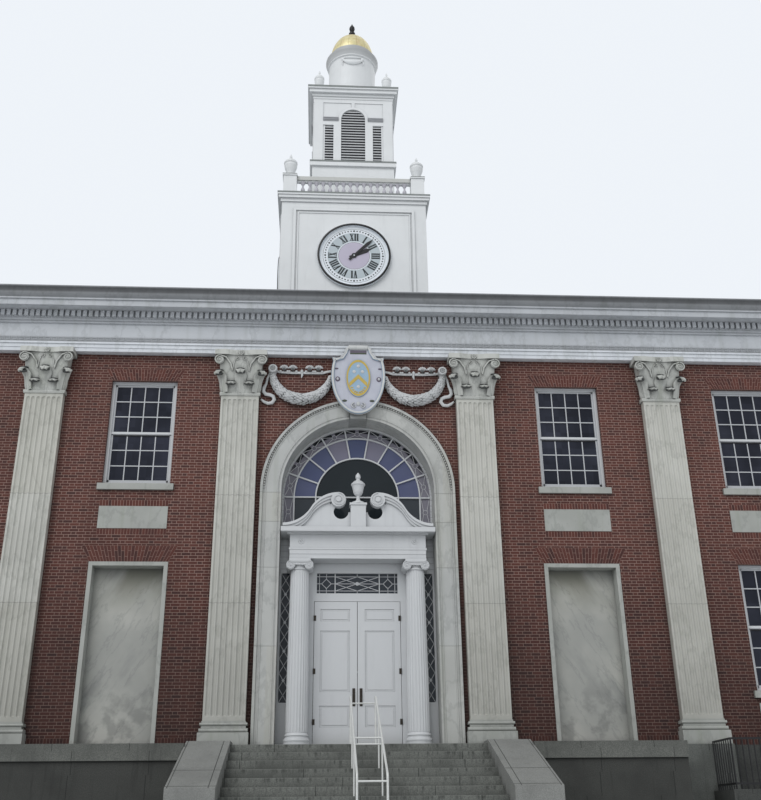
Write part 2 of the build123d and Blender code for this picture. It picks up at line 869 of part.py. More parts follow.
def door_leaf():
    """The leaf on the right: stiles and rails round three sunk panels, its hinge knuckles and pull."""
    x0 = meeting_gap / 2
    x1 = door_half_opening - leaf_gap
    y0 = screen_front - leaf_proud
    body = block(x0, x1, y0, y0 + leaf_thickness, floor_z + leaf_floor_gap, floor_z + door_top - leaf_gap)
    inner = x0 + meeting_stile
    outer = x1 - hinge_stile
    for low, high in panel_rows:
        z0 = floor_z + low
        z1 = floor_z + high
        pocket = block(inner, outer, y0, y0 + panel_sink, z0, z1)
        field = block(inner + panel_bevel, outer - panel_bevel, y0 + panel_sink / 3, y0 + panel_sink,
                      z0 + panel_bevel, z1 - panel_bevel)
        body -= pocket - field
    pin_x = (x1 + door_half_opening) / 2
    for z in knuckle_z:
        middle = floor_z + z
        half = knuckle_length / 2
        body += Pos(pin_x, y0 - knuckle_radius, middle) * Cylinder(knuckle_radius, knuckle_length)
        body += block(x1 - 40, pin_x, y0 - 6, y0, middle - half, middle + half)
    grip_x = x0 + handle_x
    plate_half = 30
    body += block(grip_x - plate_half, grip_x + plate_half, y0 - 8, y0, floor_z + handle_low - 40,
                  floor_z + handle_high + 40)
    grip_y = y0 - handle_reach
    body += Pos(grip_x, grip_y, floor_z + (handle_low + handle_high) / 2) * Cylinder(
        handle_radius, handle_high - handle_low + 2 * handle_radius)
    for z in (handle_low, handle_high):
        body += Pos(grip_x, (grip_y + y0) / 2, floor_z + z) * Rot(90, 0, 0) * Cylinder(9, handle_reach)
    return body


# Carved work over the arch
def cartouche_outline():
    """The shield's right and left edges: a crest, a dip to each shoulder and an egg-shaped body."""
    top = wall_top + cartouche_rise
    foot = top - cartouche_height
    half = cartouche_half
    dip = (shoulder_half, top - shoulder_drop)
    tip = (half - 20, top - shoulder_drop)
    side = (half, top - shoulder_drop - 100)
    edges = [
        Line((0, top), (crest_half, top)),
        ThreePointArc((crest_half, top), (crest_half + 125, top - 0.4 * shoulder_drop), dip),
        ThreePointArc(dip, ((dip[0] + tip[0]) / 2, top - shoulder_drop - 30), tip),
        Line(tip, side),
        ThreePointArc(side, (0.82 * half, top - 0.72 * cartouche_height), (0, foot)),
    ]
    return make_face([*edges, *[mirror(edge, about=Plane.YZ) for edge in edges]])


def cartouche():
    """A shield with a raised rim, a rolled crest and a raised oval, on a block against the wall."""
    top = wall_top + cartouche_rise
    plate = cartouche_outline()
    body = elevation(plate, cartouche_front, cartouche_back)
    rim = plate - offset(plate, amount=-cartouche_rim)
    body += elevation(rim, cartouche_front - rim_relief, cartouche_front)
    oval = Pos(0, top - shield_drop) * Ellipse(shield_half, shield_half_height)
    body += elevation(oval, cartouche_front - shield_relief, cartouche_front)
    body += Pos(0, roll_y, top - roll_radius) * Rot(0, 90, 0) * Cylinder(roll_radius, 2 * crest_half)
    arch_top = spring_z + arch_outer
    backing = rectangle(-backing_half, backing_half, arch_top + backing_inset, wall_top - backing_inset)
    return [body + elevation(backing, cartouche_back, 0)]


def festoons():
    """Two hanging garlands that lie against the brick, with a rosette at each outer end."""
    rosette_z = wall_top - rosette_drop
    y = -0.8 * garland_radius
    start = (garland_inner_x, y, rosette_z - 0.3 * garland_sag)
    low = ((garland_inner_x + garland_outer_x) / 2, y, rosette_z - garland_sag)
    end = (garland_outer_x, y, rosette_z)
    path = ThreePointArc(start, low, end)
    rope = sweep(Plane(origin=path @ 0, z_dir=path % 0) * Circle(garland_radius), path=path)
    rope -= block(0, 2 * garland_outer_x, 0, 4 * garland_radius, floor_z, wall_top)
    rosette = elevation(disc(garland_outer_x, rosette_z, rosette_radius), -rosette_depth, 0)
    return both_sides(rope + rosette)


# Clock stage
def clock_stage():
    """Four walls with a raised bead round each dial's panel."""
    body = tower_course(clock_half, deck_top, clock_top)
    body -= tower_course(clock_half - clock_wall, deck_top, clock_top)
    y0 = tower_y - clock_half
    low = dial_z - clock_panel_fall
    high = dial_z + clock_panel_rise
    half = clock_panel_half
    inner = half - clock_bead
    bead = rectangle(-half, half, low, high) - rectangle(-inner, inner, low + clock_bead, high - clock_bead)
    return [joined([body] + four_faces(elevation(bead, y0 - clock_bead_depth, y0)))]


def clock_stage_cornice():
    z = clock_top
    reach = clock_half + clock_cornice_projection
    bed = 0.37 * clock_cornice_height
    corona = 0.67 * clock_cornice_height
    courses = [(clock_half + 40, 0, bed), (reach - 30, bed, corona), (reach, corona, clock_cornice_height)]
    return [joined([tower_course(half, z + low, z + high) for half, low, high in courses])]


def clock_dials():
    y0 = tower_y - clock_half
    rim = elevation(ring(0, dial_z, dial_ring_radius, dial_radius), y0 - dial_ring_depth, y0)
    face = elevation(disc(0, dial_z, dial_radius), y0 - dial_depth, y0)
    pin_end = y0 - dial_depth - 2 * (hand_thickness + hand_gap) - hand_gap
    pin = elevation(disc(0, dial_z, spindle_radius), pin_end, y0 - dial_depth)
    return four_faces(rim + face + pin)


def hand(length, width, angle, layer):
    """A clock hand with a ring round the spindle, a tapered blade and a tail."""
    shoulder = 0.8 * width
    tail = 0.6 * width
    blade = outline([(-width / 2, 0), (-shoulder, 0.72 * length), (0, length), (shoulder, 0.72 * length),
                     (width / 2, 0), (tail, -0.25 * length), (-tail, -0.25 * length)])
    face = blade + Circle(spindle_radius + hand_boss) - Circle(spindle_radius + 1)
    face = Pos(0, dial_z) * Rot(0, 0, -angle) * face
    back_y = tower_y - clock_half - dial_depth - hand_gap - layer * (hand_thickness + hand_gap)
    return elevation(face, back_y - hand_thickness, back_y)


# Balustrade and belfry
def baluster_outline(x, foot, height):
    shape = [(0.93, 0), (0.93, 0.08), (0.46, 0.14), (1, 0.34), (0.86, 0.48), (0.36, 0.72), (0.71, 0.9),
             (0.93, 1)]
    right_edge = [(x + baluster_half * a, foot + height * b) for a, b in shape]
    left_edge = [(x - baluster_half * a, foot + height * b) for a, b in reversed(shape)]
    return outline(right_edge + left_edge)


def tower_balustrade():
    """Corner posts and openwork sides whose balusters are vase shaped in elevation."""
    outer = clock_half - post_inset
    inner = outer - post_width
    z0 = tower_deck
    z1 = tower_deck + rail_height
    count = int(2 * inner / baluster_spacing)
    spacing = 2 * inner / count
    face = rectangle(-inner, inner, z0, z0 + foot_rail) + rectangle(-inner, inner, z1 - top_rail, z1)
    height = rail_height - foot_rail - top_rail
    for k in range(count):
        face += baluster_outline(-inner + (k + 0.5) * spacing, z0 + foot_rail, height)
    y0 = tower_y - outer
    side_y = y0 + (post_width - rail_depth) / 2
    side = elevation(face, side_y, side_y + rail_depth)
    post = block(-outer, -inner, y0, y0 + post_width, z0, z1 - post_cap)
    reach = post_cap_reach
    post += block(-outer - reach, -inner, y0 - reach, y0 + post_width, z1 - post_cap, z1)
    return [joined(four_faces(side) + four_faces(post))]


def tower_urns():
    """A large urn on each corner post and a small one on each corner of the belfry's cornice."""
    x = clock_half - post_inset - post_width / 2
    profile = urn_outline(large_urn_radius, tower_deck + rail_height, large_urn_height, round_urn_shape)
    large = turned(profile, -x, tower_y - x)
    x = belfry_cornice_half - small_urn_inset
    profile = urn_outline(small_urn_radius, belfry_cornice_top, small_urn_height, round_urn_shape)
    small = turned(profile, -x, tower_y - x)
    return four_faces(large) + four_faces(small)


def belfry_pedestal():
    z1 = pedestal_top - pedestal_cap
    body = tower_course(pedestal_half, tower_deck, z1)
    body -= tower_course(pedestal_half - belfry_wall, tower_deck, z1)
    return [body + tower_course(pedestal_half + pedestal_cap_reach, z1, pedestal_top)]


def mirrored_rectangles(inner, outer, z0, z1):
    return rectangle(inner, outer, z0, z1) + rectangle(-outer, -inner, z0, z1)


def belfry_openings():
    sides = mirrored_rectangles(side_louvre_in, side_louvre_out, belfry_sill, side_louvre_top)
    return arch_face(belfry_arch, belfry_sill, belfry_spring) + sides


def belfry_trim_face():
    """Corner strips, inner strips, the arch's moulding with its keystone, and the imposts."""
    h = belfry_half
    arch_edge = belfry_arch + arch_trim
    arch_top = belfry_spring + belfry_arch
    head = keystone_half
    foot = 0.7 * keystone_half
    keystone = [(-foot, arch_top), (foot, arch_top), (head, belfry_top), (-head, belfry_top)]
    impost = side_louvre_top + impost_height
    face = arch_face(arch_edge, pedestal_top, belfry_spring) + outline(keystone)
    face += mirrored_rectangles(h - corner_strip, h, pedestal_top, belfry_top)
    face += mirrored_rectangles(belfry_arch, side_louvre_in, pedestal_top, impost)
    face += mirrored_rectangles(arch_edge, h, side_louvre_top, impost)
    return face - belfry_openings()


def belfry_walls():
    h = belfry_half
    body = tower_course(h, pedestal_top, belfry_top) - tower_course(h - belfry_wall, pedestal_top, belfry_top)
    cut = elevation(belfry_openings(), tower_y - 2 * h, tower_y + 2 * h)
    body -= four_faces(cut)[0:2]
    trim = elevation(belfry_trim_face(), tower_y - h - belfry_trim, tower_y - h)
    return [joined([body] + four_faces(trim))]


def belfry_louvres():
    y0 = tower_y - belfry_half + louvre_set_back
    y1 = y0 + louvre_thickness
    arch = elevation(arch_face(belfry_arch - fit_gap, belfry_sill, belfry_spring), y0, y1)
    sheets = [arch] + both_sides(block(side_louvre_in, side_louvre_out, y0, y1, belfry_sill, side_louvre_top))
    return [copy for sheet in sheets for copy in four_faces(sheet)]


def belfry_cornice():
    """Two fascias, a bed mould, the corona and a fillet."""
    z = belfry_top
    h = belfry_half
    t = belfry_cornice_height
    w = belfry_cornice_half
    courses = [(h + 20, 0, 0.25 * t), (h + 35, 0.25 * t, 0.41 * t), (h + 70, 0.41 * t, 0.59 * t),
               (w - 45, 0.59 * t, 0.8 * t), (w, 0.8 * t, t)]
    body = joined([tower_course(half, z + low, z + high) for half, low, high in courses])
    return [body - tower_course(h - belfry_wall, z, z + 0.59 * t)]


def drum():
    """A round base, a plain drum, its cornice and the foot of the dome, open inside."""
    z0 = belfry_cornice_top
    r = drum_radius
    c = drum_cornice_radius
    base = drum_foot_rise
    profile = [
        (r + 190, z0), (r + 190, z0 + 0.53 * base), (r + 90, z0 + 0.58 * base), (r + 90, drum_foot),
        (r, drum_foot + 40), (r, drum_top - 60), (r + 40, drum_top - 40), (r + 40, drum_top),
        (c - 40, drum_top + 60), (c, drum_top + 180), (c, drum_top + 240), (r + 20, drum_top + 280),
        (dome_radius + 40, drum_top + 300), (dome_radius + 40, dome_foot), (dome_radius - shell, dome_foot),
        (dome_radius - shell, z0),
    ]
    return [turned(profile, 0, tower_y)]


def dome_curve(radius, height):
    """Two tangent arcs from the upright foot to the level crown of a raised dome."""
    side = JernArc((radius, dome_foot), (0, 1), 1.6 * radius, 32)
    end = side @ 1
    direction = side % 1
    crown = TangentArc([end, (0, dome_foot + height)], tangent=direction)
    return side, crown


def dome():
    outer_side, outer_crown = dome_curve(dome_radius, dome_height)
    inner_side, inner_crown = dome_curve(dome_radius - shell, dome_height - shell)
    lines = [outer_side, outer_crown, Line(outer_crown @ 1, inner_crown @ 1), inner_crown, inner_side,
             Line(inner_side @ 0, outer_side @ 0)]
    body = Pos(0, tower_y, 0) * revolve(Plane.XZ * make_face(lines), Axis.Z)
    crown = dome_foot + dome_height
    return [body - tower_course(dome_radius, crown - dome_flat, crown + dome_height)]


def finial():
    """A foot ring and two bulbs, the lower one round and the upper one drawn out to the tip."""
    z0 = dome_foot + dome_height - dome_flat
    top = z0 + finial_height
    profile = [
        (0, z0), (125, z0), (110, z0 + 50), (70, z0 + 80), (105, z0 + 130), (112, z0 + 190), (85, z0 + 240),
        (50, z0 + 270), (80, z0 + 320), (98, z0 + 400), (88, z0 + 470), (48, z0 + 540), (20, z0 + 600),
        (0, top),
    ]
    return [turned(profile, 0, tower_y)]


# Steps, cheek walls and terraces
def entrance_landing():
    return [block(-stair_half, stair_half, landing_front, -base_projection, 0, floor_z)]


def front_steps():
    points = [(landing_front, 0)]
    for k in range(1, riser_count):
        y = landing_front - (k - 1) * tread
        z = floor_z - k * riser
        points += [(y, z), (y - tread, z)]
    points.append((landing_front - (riser_count - 1) * tread, 0))
    return [side_profile(points, -stair_half, stair_half)]


def cheek_walls():
    """Sloped walls beside the steps, level with the floor where the inner pilasters stand on them."""
    top = floor_z + cheek_rise
    clear = -base_projection - plinth_depth
    points = [(-base_projection, 0), (-base_projection, floor_z), (clear, floor_z), (clear, top),
              (cheek_slope_start, top), (cheek_end, top - cheek_drop), (cheek_end, 0)]
    return both_sides(side_profile(points, stair_half, stair_half + cheek_width))


def terraces():
    x0 = stair_half + cheek_width
    shapes = []
    for x1, x2 in ((terrace_left_end, -x0), (x0, terrace_right_end)):
        body = block(x1, x2, terrace_front + coping_overhang, -base_projection, 0, floor_z - coping_height)
        body += block(x1, x2, terrace_front, -base_projection, floor_z - coping_height, floor_z)
        shapes.append(body)
    return shapes


# Handrail and railing
def pipe(start, end):
    axis = Vector(*end) - Vector(*start)
    return extrude(Plane(origin=start, z_dir=axis) * Circle(handrail_post_radius), amount=axis.length)


def nosing_z(y):
    """Height of the line over the steps' nosings."""
    return floor_z + (y - landing_front) * riser / tread


def tread_z(k):
    return floor_z - k * riser


def stair_handrails():
    """Two pipe rails that follow the steps, bent down to posts at both ends and tied by cross pipes."""
    foot_y = landing_front - (riser_count - 1.5) * tread
    level_z = floor_z + handrail_height
    low_z = nosing_z(foot_y) + handrail_height
    body = None
    for side in (-1, 1):
        x = handrail_x + side * handrail_spacing / 2
        points = [(x, handrail_start, floor_z), (x, handrail_start, level_z), (x, landing_front, level_z),
                  (x, foot_y, low_z), (x, foot_y, tread_z(riser_count - 1))]
        rail = sweep(Plane(origin=points[0], z_dir=(0, 0, 1)) * Circle(handrail_radius),
                     path=FilletPolyline(*points, radius=[handrail_bend, handrail_bend / 2, handrail_bend]))
        body = rail if body is None else body + rail
        for k in handrail_posts:
            y = landing_front - (k - 0.5) * tread
            body += pipe((x, y, tread_z(k)), (x, y, nosing_z(y) + handrail_height))
    x0 = handrail_x - handrail_spacing / 2
    x1 = handrail_x + handrail_spacing / 2
    middle_y = landing_front - (handrail_posts[1] - 0.5) * tread
    middle_z = nosing_z(middle_y) + handrail_height
    cross_places = [(handrail_start, level_z - handrail_bend), (middle_y, middle_z),
                    (middle_y, middle_z - cross_pipe_drop), (foot_y, low_z - handrail_bend)]
    for y, z in cross_places:
        body += pipe((x0, y, z), (x1, y, z))
    return [body]


def areaway_kerbs():
    """A low wall round the sunk area, from one pilaster pedestal to the next."""
    top = floor_z - kerb_drop
    half = kerb_width / 2
    clear = -base_projection - plinth_depth
    body = block(area_left - half, area_right + half, area_front - half, area_front + half, 0, top)
    for x in (area_left, area_right):
        body += block(x - half, x + half, area_front, clear, 0, top)
    return [body]


def railing_side(length, foot_z, top_z):
    """Square pickets between two rails, drawn in elevation from x = 0."""
    half = picket / 2
    low = foot_z + picket_reach
    face = rectangle(0, length, low, low + railing_bar) + rectangle(0, length, top_z - railing_bar, top_z)
    count = int(length / picket_spacing)
    spacing = length / count
    for k in range(count + 1):
        x = min(max(k * spacing, half), length - half)
        face += rectangle(x - half, x + half, foot_z, top_z)
    return elevation(face, -half, half)


def areaway_railings():
    foot_z = floor_z - kerb_drop
    top_z = floor_z + railing_top
    body = Pos(area_left, area_front, 0) * railing_side(area_right - area_left, foot_z, top_z)
    run = -base_projection - plinth_depth - area_front
    for x in (area_left, area_right):
        body += Pos(x, area_front, 0) * Rot(0, 0, 90) * railing_side(run, foot_z, top_z)
    return [body]


def main():
    os.makedirs("parts", exist_ok=True)
    save("base_walls", base_walls())
    save("ground_floor", floor_slab(floor_z))
    save("upper_floor", floor_slab(upper_floor_z))
    save("roof_deck", floor_slab(deck_top))
    save("hipped_roof", hipped_roof())
    wall_halves = both_sides(front_wall_half())
    save("front_wall_left", wall_halves[:1])
    save("front_wall_right", wall_halves[1:])
    save("wall_over_arch", wall_over_arch())
    side_half = depth / 2 - wall
    save("left_wall", plain_wall(left, side_half, side_row))
    save("right_wall", plain_wall(right, side_half, side_row))
    save("back_wall", plain_wall(back, half_width, back_row))
    save("pilaster_pedestals", pilaster_pedestals())
    save("pilaster_bases", on_pilasters(pilaster_base))
    save("pilaster_shafts", on_pilasters(pilaster_shaft))
    save("pilaster_capitals", on_pilasters(pilaster_capital))
    save("architrave_and_frieze", [stacked(architrave_courses)])
    save("dentil_band", [stacked(bed_courses)])
    save("main_cornice", main_cornice())
    save("marble_slabs", marble_slabs())
    save("window_sills", window_sills())
    save("window_frames", at_windows(window_frame))
    save("window_glass", at_windows(window_pane))
    save("niche_frames", niche_frames())
    save("niche_slabs", niche_slabs())
    save("entrance_arch", entrance_arch())
    save("entrance_screen", entrance_screen())
    save("fanlight_bars", fanlight_bars())
    save("entrance_glass", entrance_glass())
    save("entrance_columns", [entrance_column(-1), entrance_column(1)])
    save("entrance_entablature", entrance_entablature())
    save("swan_neck_pediment", swan_neck_pediment())
    save("pediment_urn", pediment_urn())
    leaves = both_sides(door_leaf())
    save("door_right", leaves[:1])
    save("door_left", leaves[1:])
    save("cartouche", cartouche())
    save("festoons", festoons())
    save("clock_stage", clock_stage())
    save("clock_stage_cornice", clock_stage_cornice())
    save("clock_dials", clock_dials())
    minute_hands = four_faces(hand(minute_length, minute_width, minute_angle, 1))
    hour_hands = four_faces(hand(hour_length, hour_width, hour_angle, 0))
    save("front_minute_hand", minute_hands[:1])
    save("front_hour_hand", hour_hands[:1])
    save("other_clock_hands", minute_hands[1:] + hour_hands[1:])
    save("tower_balustrade", tower_balustrade())
    save("tower_urns", tower_urns())
    save("belfry_pedestal", belfry_pedestal())
    save("belfry_walls", belfry_walls())
    save("belfry_louvres", belfry_louvres())
    save("belfry_cornice", belfry_cornice())
    save("drum", drum())
    save("dome", dome())
    save("finial", finial())
    save("entrance_landing", entrance_landing())
    save("front_steps", front_steps())
    save("cheek_walls", cheek_walls())
    save("terraces", terraces())
    save("stair_handrails", stair_handrails())
    save("areaway_kerbs", areaway_kerbs())
    save("areaway_railings", areaway_railings())


main()
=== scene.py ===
import math
import random

import bmesh
import bpy
from mathutils import Matrix, Vector


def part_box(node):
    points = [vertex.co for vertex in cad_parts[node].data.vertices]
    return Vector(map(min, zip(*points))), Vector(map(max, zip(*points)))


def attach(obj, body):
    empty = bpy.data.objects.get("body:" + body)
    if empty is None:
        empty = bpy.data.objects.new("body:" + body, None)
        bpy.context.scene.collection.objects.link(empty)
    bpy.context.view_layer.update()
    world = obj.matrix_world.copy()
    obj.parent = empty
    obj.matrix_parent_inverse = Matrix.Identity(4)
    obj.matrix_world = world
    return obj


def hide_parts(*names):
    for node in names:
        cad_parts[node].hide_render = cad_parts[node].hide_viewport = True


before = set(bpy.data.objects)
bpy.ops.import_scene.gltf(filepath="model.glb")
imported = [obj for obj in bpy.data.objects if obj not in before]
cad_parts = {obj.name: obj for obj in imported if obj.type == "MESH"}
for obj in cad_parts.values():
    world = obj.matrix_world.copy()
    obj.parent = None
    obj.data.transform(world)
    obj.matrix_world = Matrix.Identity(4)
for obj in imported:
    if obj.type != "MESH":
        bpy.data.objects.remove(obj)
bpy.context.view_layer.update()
random.seed(4)

# Main sizes in metres, the same as in the part's source
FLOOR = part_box("front_wall_left")[0].z
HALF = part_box("front_wall_right")[1].x
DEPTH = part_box("back_wall")[1].y
WALL_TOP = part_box("front_wall_left")[1].z
COURSE = 0.0677
BRICK = 0.203
JOINT = 0.010
HEADER = 0.097
ROWLOCK = 0.135
PERIOD = BRICK + HEADER + 2 * JOINT
INNER_BAY = 5.1595
OUTER_BAY = 9.632
PILASTERS = (2.845, 7.474, 11.79)
WINDOW = 1.566
UPPER = (7.756, 10.386)
LOWER = (3.066, 5.916)
PANEL = (6.691, 7.216)
APRON_TOP = 2.806
NICHE_HALF = 0.88
SPRING = FLOOR + 5.7
TOWER_Y = 4.88
DIAL_Z = 15.711
CLOCK_HALF = 2.15
CLOCK_TOP = DIAL_Z + 1.845
RAIL_OUT = 2.155
BELFRY = 1.265
BOTH = (-1, 1)


def at(x, y, z):
    return Matrix.Translation((x, y, z))


def spin(degrees, axis="Z"):
    return Matrix.Rotation(math.radians(degrees), 4, axis)


FRONT = Matrix.Identity(4)
BACK = at(0, DEPTH, 0) @ spin(180)
LEFT = at(-HALF, DEPTH / 2, 0) @ spin(-90)
RIGHT = at(HALF, DEPTH / 2, 0) @ spin(90)
TOWER_SIDES = [at(0, TOWER_Y, 0) @ spin(90 * k) for k in range(4)]
BACK_ROW = (-OUTER_BAY, -INNER_BAY, 0, INNER_BAY, OUTER_BAY)
SIDE_ROW = (-5.85, -1.95, 1.95, 5.85)


def spots(front_row):
    """The middle of each window of a storey, on all four walls."""
    rows = ((FRONT, front_row), (BACK, BACK_ROW), (LEFT, SIDE_ROW), (RIGHT, SIDE_ROW))
    return [wall @ at(x, 0, 0) for wall, row in rows for x in row]


UPPER_SPOTS = spots((-OUTER_BAY, -INNER_BAY, INNER_BAY, OUTER_BAY))
LOWER_SPOTS = spots((-OUTER_BAY, OUTER_BAY))


def arc(x, z, radius, start, end, steps):
    """Points of a circle's arc on the wall plane, angles in degrees from +X."""
    angles = [math.radians(start + (end - start) * k / steps) for k in range(steps + 1)]
    return [(x + radius * math.cos(a), z + radius * math.sin(a)) for a in angles]


def circle(x, z, radius, count):
    return arc(x, z, radius, 0, 360, count)[:-1]


def at_depth(y, outline):
    return [(x, y, z) for x, z in outline]


class Shape:
    """Faces gathered for one mesh, each with the number of its material."""

    def __init__(self):
        self.points = []
        self.faces = []
        self.slots = []

    def add(self, points, faces, slot=0):
        first = len(self.points)
        self.points += [Vector(p) for p in points]
        self.faces += [tuple(first + i for i in face) for face in faces]
        self.slots += [slot] * len(faces)

    def join(self, other, *places):
        """Adds a copy of another shape at each place."""
        for place in places:
            first = len(self.points)
            self.points += [place @ p for p in other.points]
            self.faces += [tuple(first + i for i in face) for face in other.faces]
            self.slots += other.slots

    def box(self, x0, x1, y0, y1, z0, z1, slot=0):
        x0, x1 = sorted((x0, x1))
        corners = [(x, y, z) for x in (x0, x1) for y in (y0, y1) for z in (z0, z1)]
        sides = [(0, 1, 3, 2), (4, 6, 7, 5), (0, 4, 5, 1), (2, 3, 7, 6), (0, 2, 6, 4), (1, 5, 7, 3)]
        self.add(corners, sides, slot)

    def prism(self, outline, y0, y1, slot=0):
        """A closed outline of (x, z) points, made solid from y0 to y1."""
        n = len(outline)
        faces = [tuple(range(n)), tuple(range(2 * n - 1, n - 1, -1))]
        faces += [(i, i + n, (i + 1) % n + n, (i + 1) % n) for i in range(n)]
        self.add(at_depth(y0, outline) + at_depth(y1, outline), faces, slot)

    def rings(self, rings, slot=0, cap=False):
        """Joins closed rings of equally many points by quads."""
        n = len(rings[0])
        faces = []
        for first in range(0, (len(rings) - 1) * n, n):
            for i in range(n):
                after = (i + 1) % n
                faces.append((first + i, first + after, first + n + after, first + n + i))
        if cap:
            faces.append(tuple(range(n - 1, -1, -1)))
            faces.append(tuple((len(rings) - 1) * n + i for i in range(n)))
        self.add([p for ring in rings for p in ring], faces, slot)

    def turned(self, profile, x=0, y=0, segments=16, flutes=0, depth=0, slot=0):
        """A turned form from (radius, z) points. Flutes wave its sections inward."""
        rings = []
        for radius, z in profile:
            ring = []
            for i in range(segments):
                a = 2 * math.pi * i / segments
                r = radius - depth * abs(math.sin(flutes * a / 2)) if flutes else radius
                ring.append((x + r * math.cos(a), y + r * math.sin(a), z))
            rings.append(ring)
        self.rings(rings, slot, cap=True)

    def sweep(self, profile, path, slot=0, closed=False):
        """A moulding: profile points (across, out) carried along (x, z) points on the wall plane."""
        rings = []
        path = [Vector(point) for point in path]
        last = len(path) - 1
        for i, here in enumerate(path):
            before = path[i - 1] if closed or i else here
            after = path[(i + 1) % len(path)] if closed or i < last else here
            leaving = (after - here).normalized()
            coming = (here - before).normalized() if before != here else leaving
            if after == here:
                leaving = coming
            mean = (coming + leaving).normalized()
            side = Vector((-mean.y, mean.x)) / max(0.35, mean.dot(coming))
            rings.append([(here.x + side.x * u, -v, here.y + side.y * u) for u, v in profile])
        if closed:
            rings.append(rings[0])
        self.rings(rings, slot, cap=not closed)

    def tube(self, path, radii, sides=8, slot=0, flat=1.0):
        """A round bar along 3-D points. With flat under 1 it is thinner towards the wall."""
        rings = []
        path = [Vector(point) for point in path]
        for i, point in enumerate(path):
            ahead = (path[min(i + 1, len(path) - 1)] - path[max(i - 1, 0)]).normalized()
            side = ahead.cross(Vector((0, 1, 0)))
            side = side.normalized() if side.length > 0.01 else Vector((1, 0, 0))
            out = side.cross(ahead)
            r = radii[i] if isinstance(radii, list) else radii
            rings.append([point + side * (r * math.cos(t)) + out * (r * flat * math.sin(t))
                          for t in [2 * math.pi * k / sides for k in range(sides)]])
        self.rings(rings, slot, cap=True)

    def blob(self, centre, radii, sides=8, levels=5, slot=0):
        """A round lump with the given half sizes, its poles cut off flat."""
        centre = Vector(centre)
        section = circle(0, 0, 1, sides)
        rings = []
        for j in range(levels + 1):
            v = math.pi * (0.06 + 0.88 * j / levels)
            wide, deep, low = radii[0] * math.sin(v), radii[1] * math.sin(v), -radii[2] * math.cos(v)
            rings.append([centre + Vector((wide * x, deep * y, low)) for x, y in section])
        self.rings(rings, slot, cap=True)

    def flower(self, x, y, z, reach, petal, count=8):
        """A ring of small round petals on the wall plane."""
        for px, pz in circle(x, z, reach, count):
            self.blob((px, y, pz), petal, 6, 3)

    def strip(self, start, end, width, y0, y1):
        """A flat bar between two (x, z) points on the wall plane."""
        start, end = Vector(start), Vector(end)
        half = (end - start).normalized() * width / 2
        side = Vector((-half.y, half.x))
        self.prism([tuple(p) for p in (start - side, end - side, end + side, start + side)], y0, y1)

    def scroll(self, x, z, y, radius, turns, side, thick, slot=0):
        """A spiral bar on the wall plane that winds in to its eye from the top."""
        count = int(14 * turns)
        path = []
        for k in range(count + 1):
            a = math.pi / 2 - side * 2 * math.pi * turns * k / count
            r = radius * (1 - 0.86 * k / count)
            path.append((x + r * math.cos(a), y, z + r * math.sin(a)))
        radii = [thick * (1 - 0.5 * k / count) for k in range(count + 1)]
        self.tube(path, radii, sides=6, slot=slot)
        self.blob((x, y, z), (radius * 0.2, thick, radius * 0.2), slot=slot)

    def leaf(self, place, width, height, curl):
        """An upright leaf with ribs whose tip rolls out and over.

        It stands on the X and Z of its place, and faces -Y.
        """
        spine = [(0.0, 0.0), (0.006, 0.25), (0.010, 0.5), (0.014, 0.7), (0.22 * curl, 0.85),
                 (0.5 * curl, 0.96), (0.8 * curl, 1.0), (curl, 0.95), (1.05 * curl, 0.86)]
        widths = (0.80, 0.95, 0.88, 1.0, 0.96, 0.90, 0.78, 0.62, 0.40)
        rings = []
        for (out, up), share in zip(spine, widths):
            droop = 1 if up > 0.8 else 0
            front = []
            for i in range(9):
                t = -1 + i / 4
                rib = 0.010 * math.cos(3 * math.pi * t) * (1 - 0.4 * abs(t)) + 0.012 * (1 - t * t)
                front.append((t * share * width, -out - rib, up * height - 0.02 * abs(t) * droop))
            back = [(x * 0.96, y + 0.03, z - 0.012 * droop) for x, y, z in reversed(front)]
            rings.append([place @ Vector(p) for p in front + back])
        self.rings(rings, cap=True)

    def piece(self, name, looks, smooth=None, slot=None, replaces=()):
        """One piece of the building, made of these faces."""
        mesh = bpy.data.meshes.new(name)
        mesh.from_pydata(self.points, [], self.faces)
        for look in looks if isinstance(looks, list) else [looks]:
            mesh.materials.append(look)
        mesh.polygons.foreach_set("material_index", self.slots)
        work = bmesh.new()
        work.from_mesh(mesh)
        bmesh.ops.recalc_face_normals(work, faces=work.faces)
        work.to_mesh(mesh)
        work.free()
        if smooth:
            mesh.polygons.foreach_set("use_smooth", [True] * len(mesh.polygons))
            mesh.set_sharp_from_angle(angle=math.radians(smooth))
        thing = bpy.data.objects.new(name, mesh)
        bpy.context.collection.objects.link(thing)
        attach(thing, "building")
        if replaces:
            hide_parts(*replaces)


def copies(shape, places):
    whole = Shape()
    whole.join(shape, *places)
    return whole


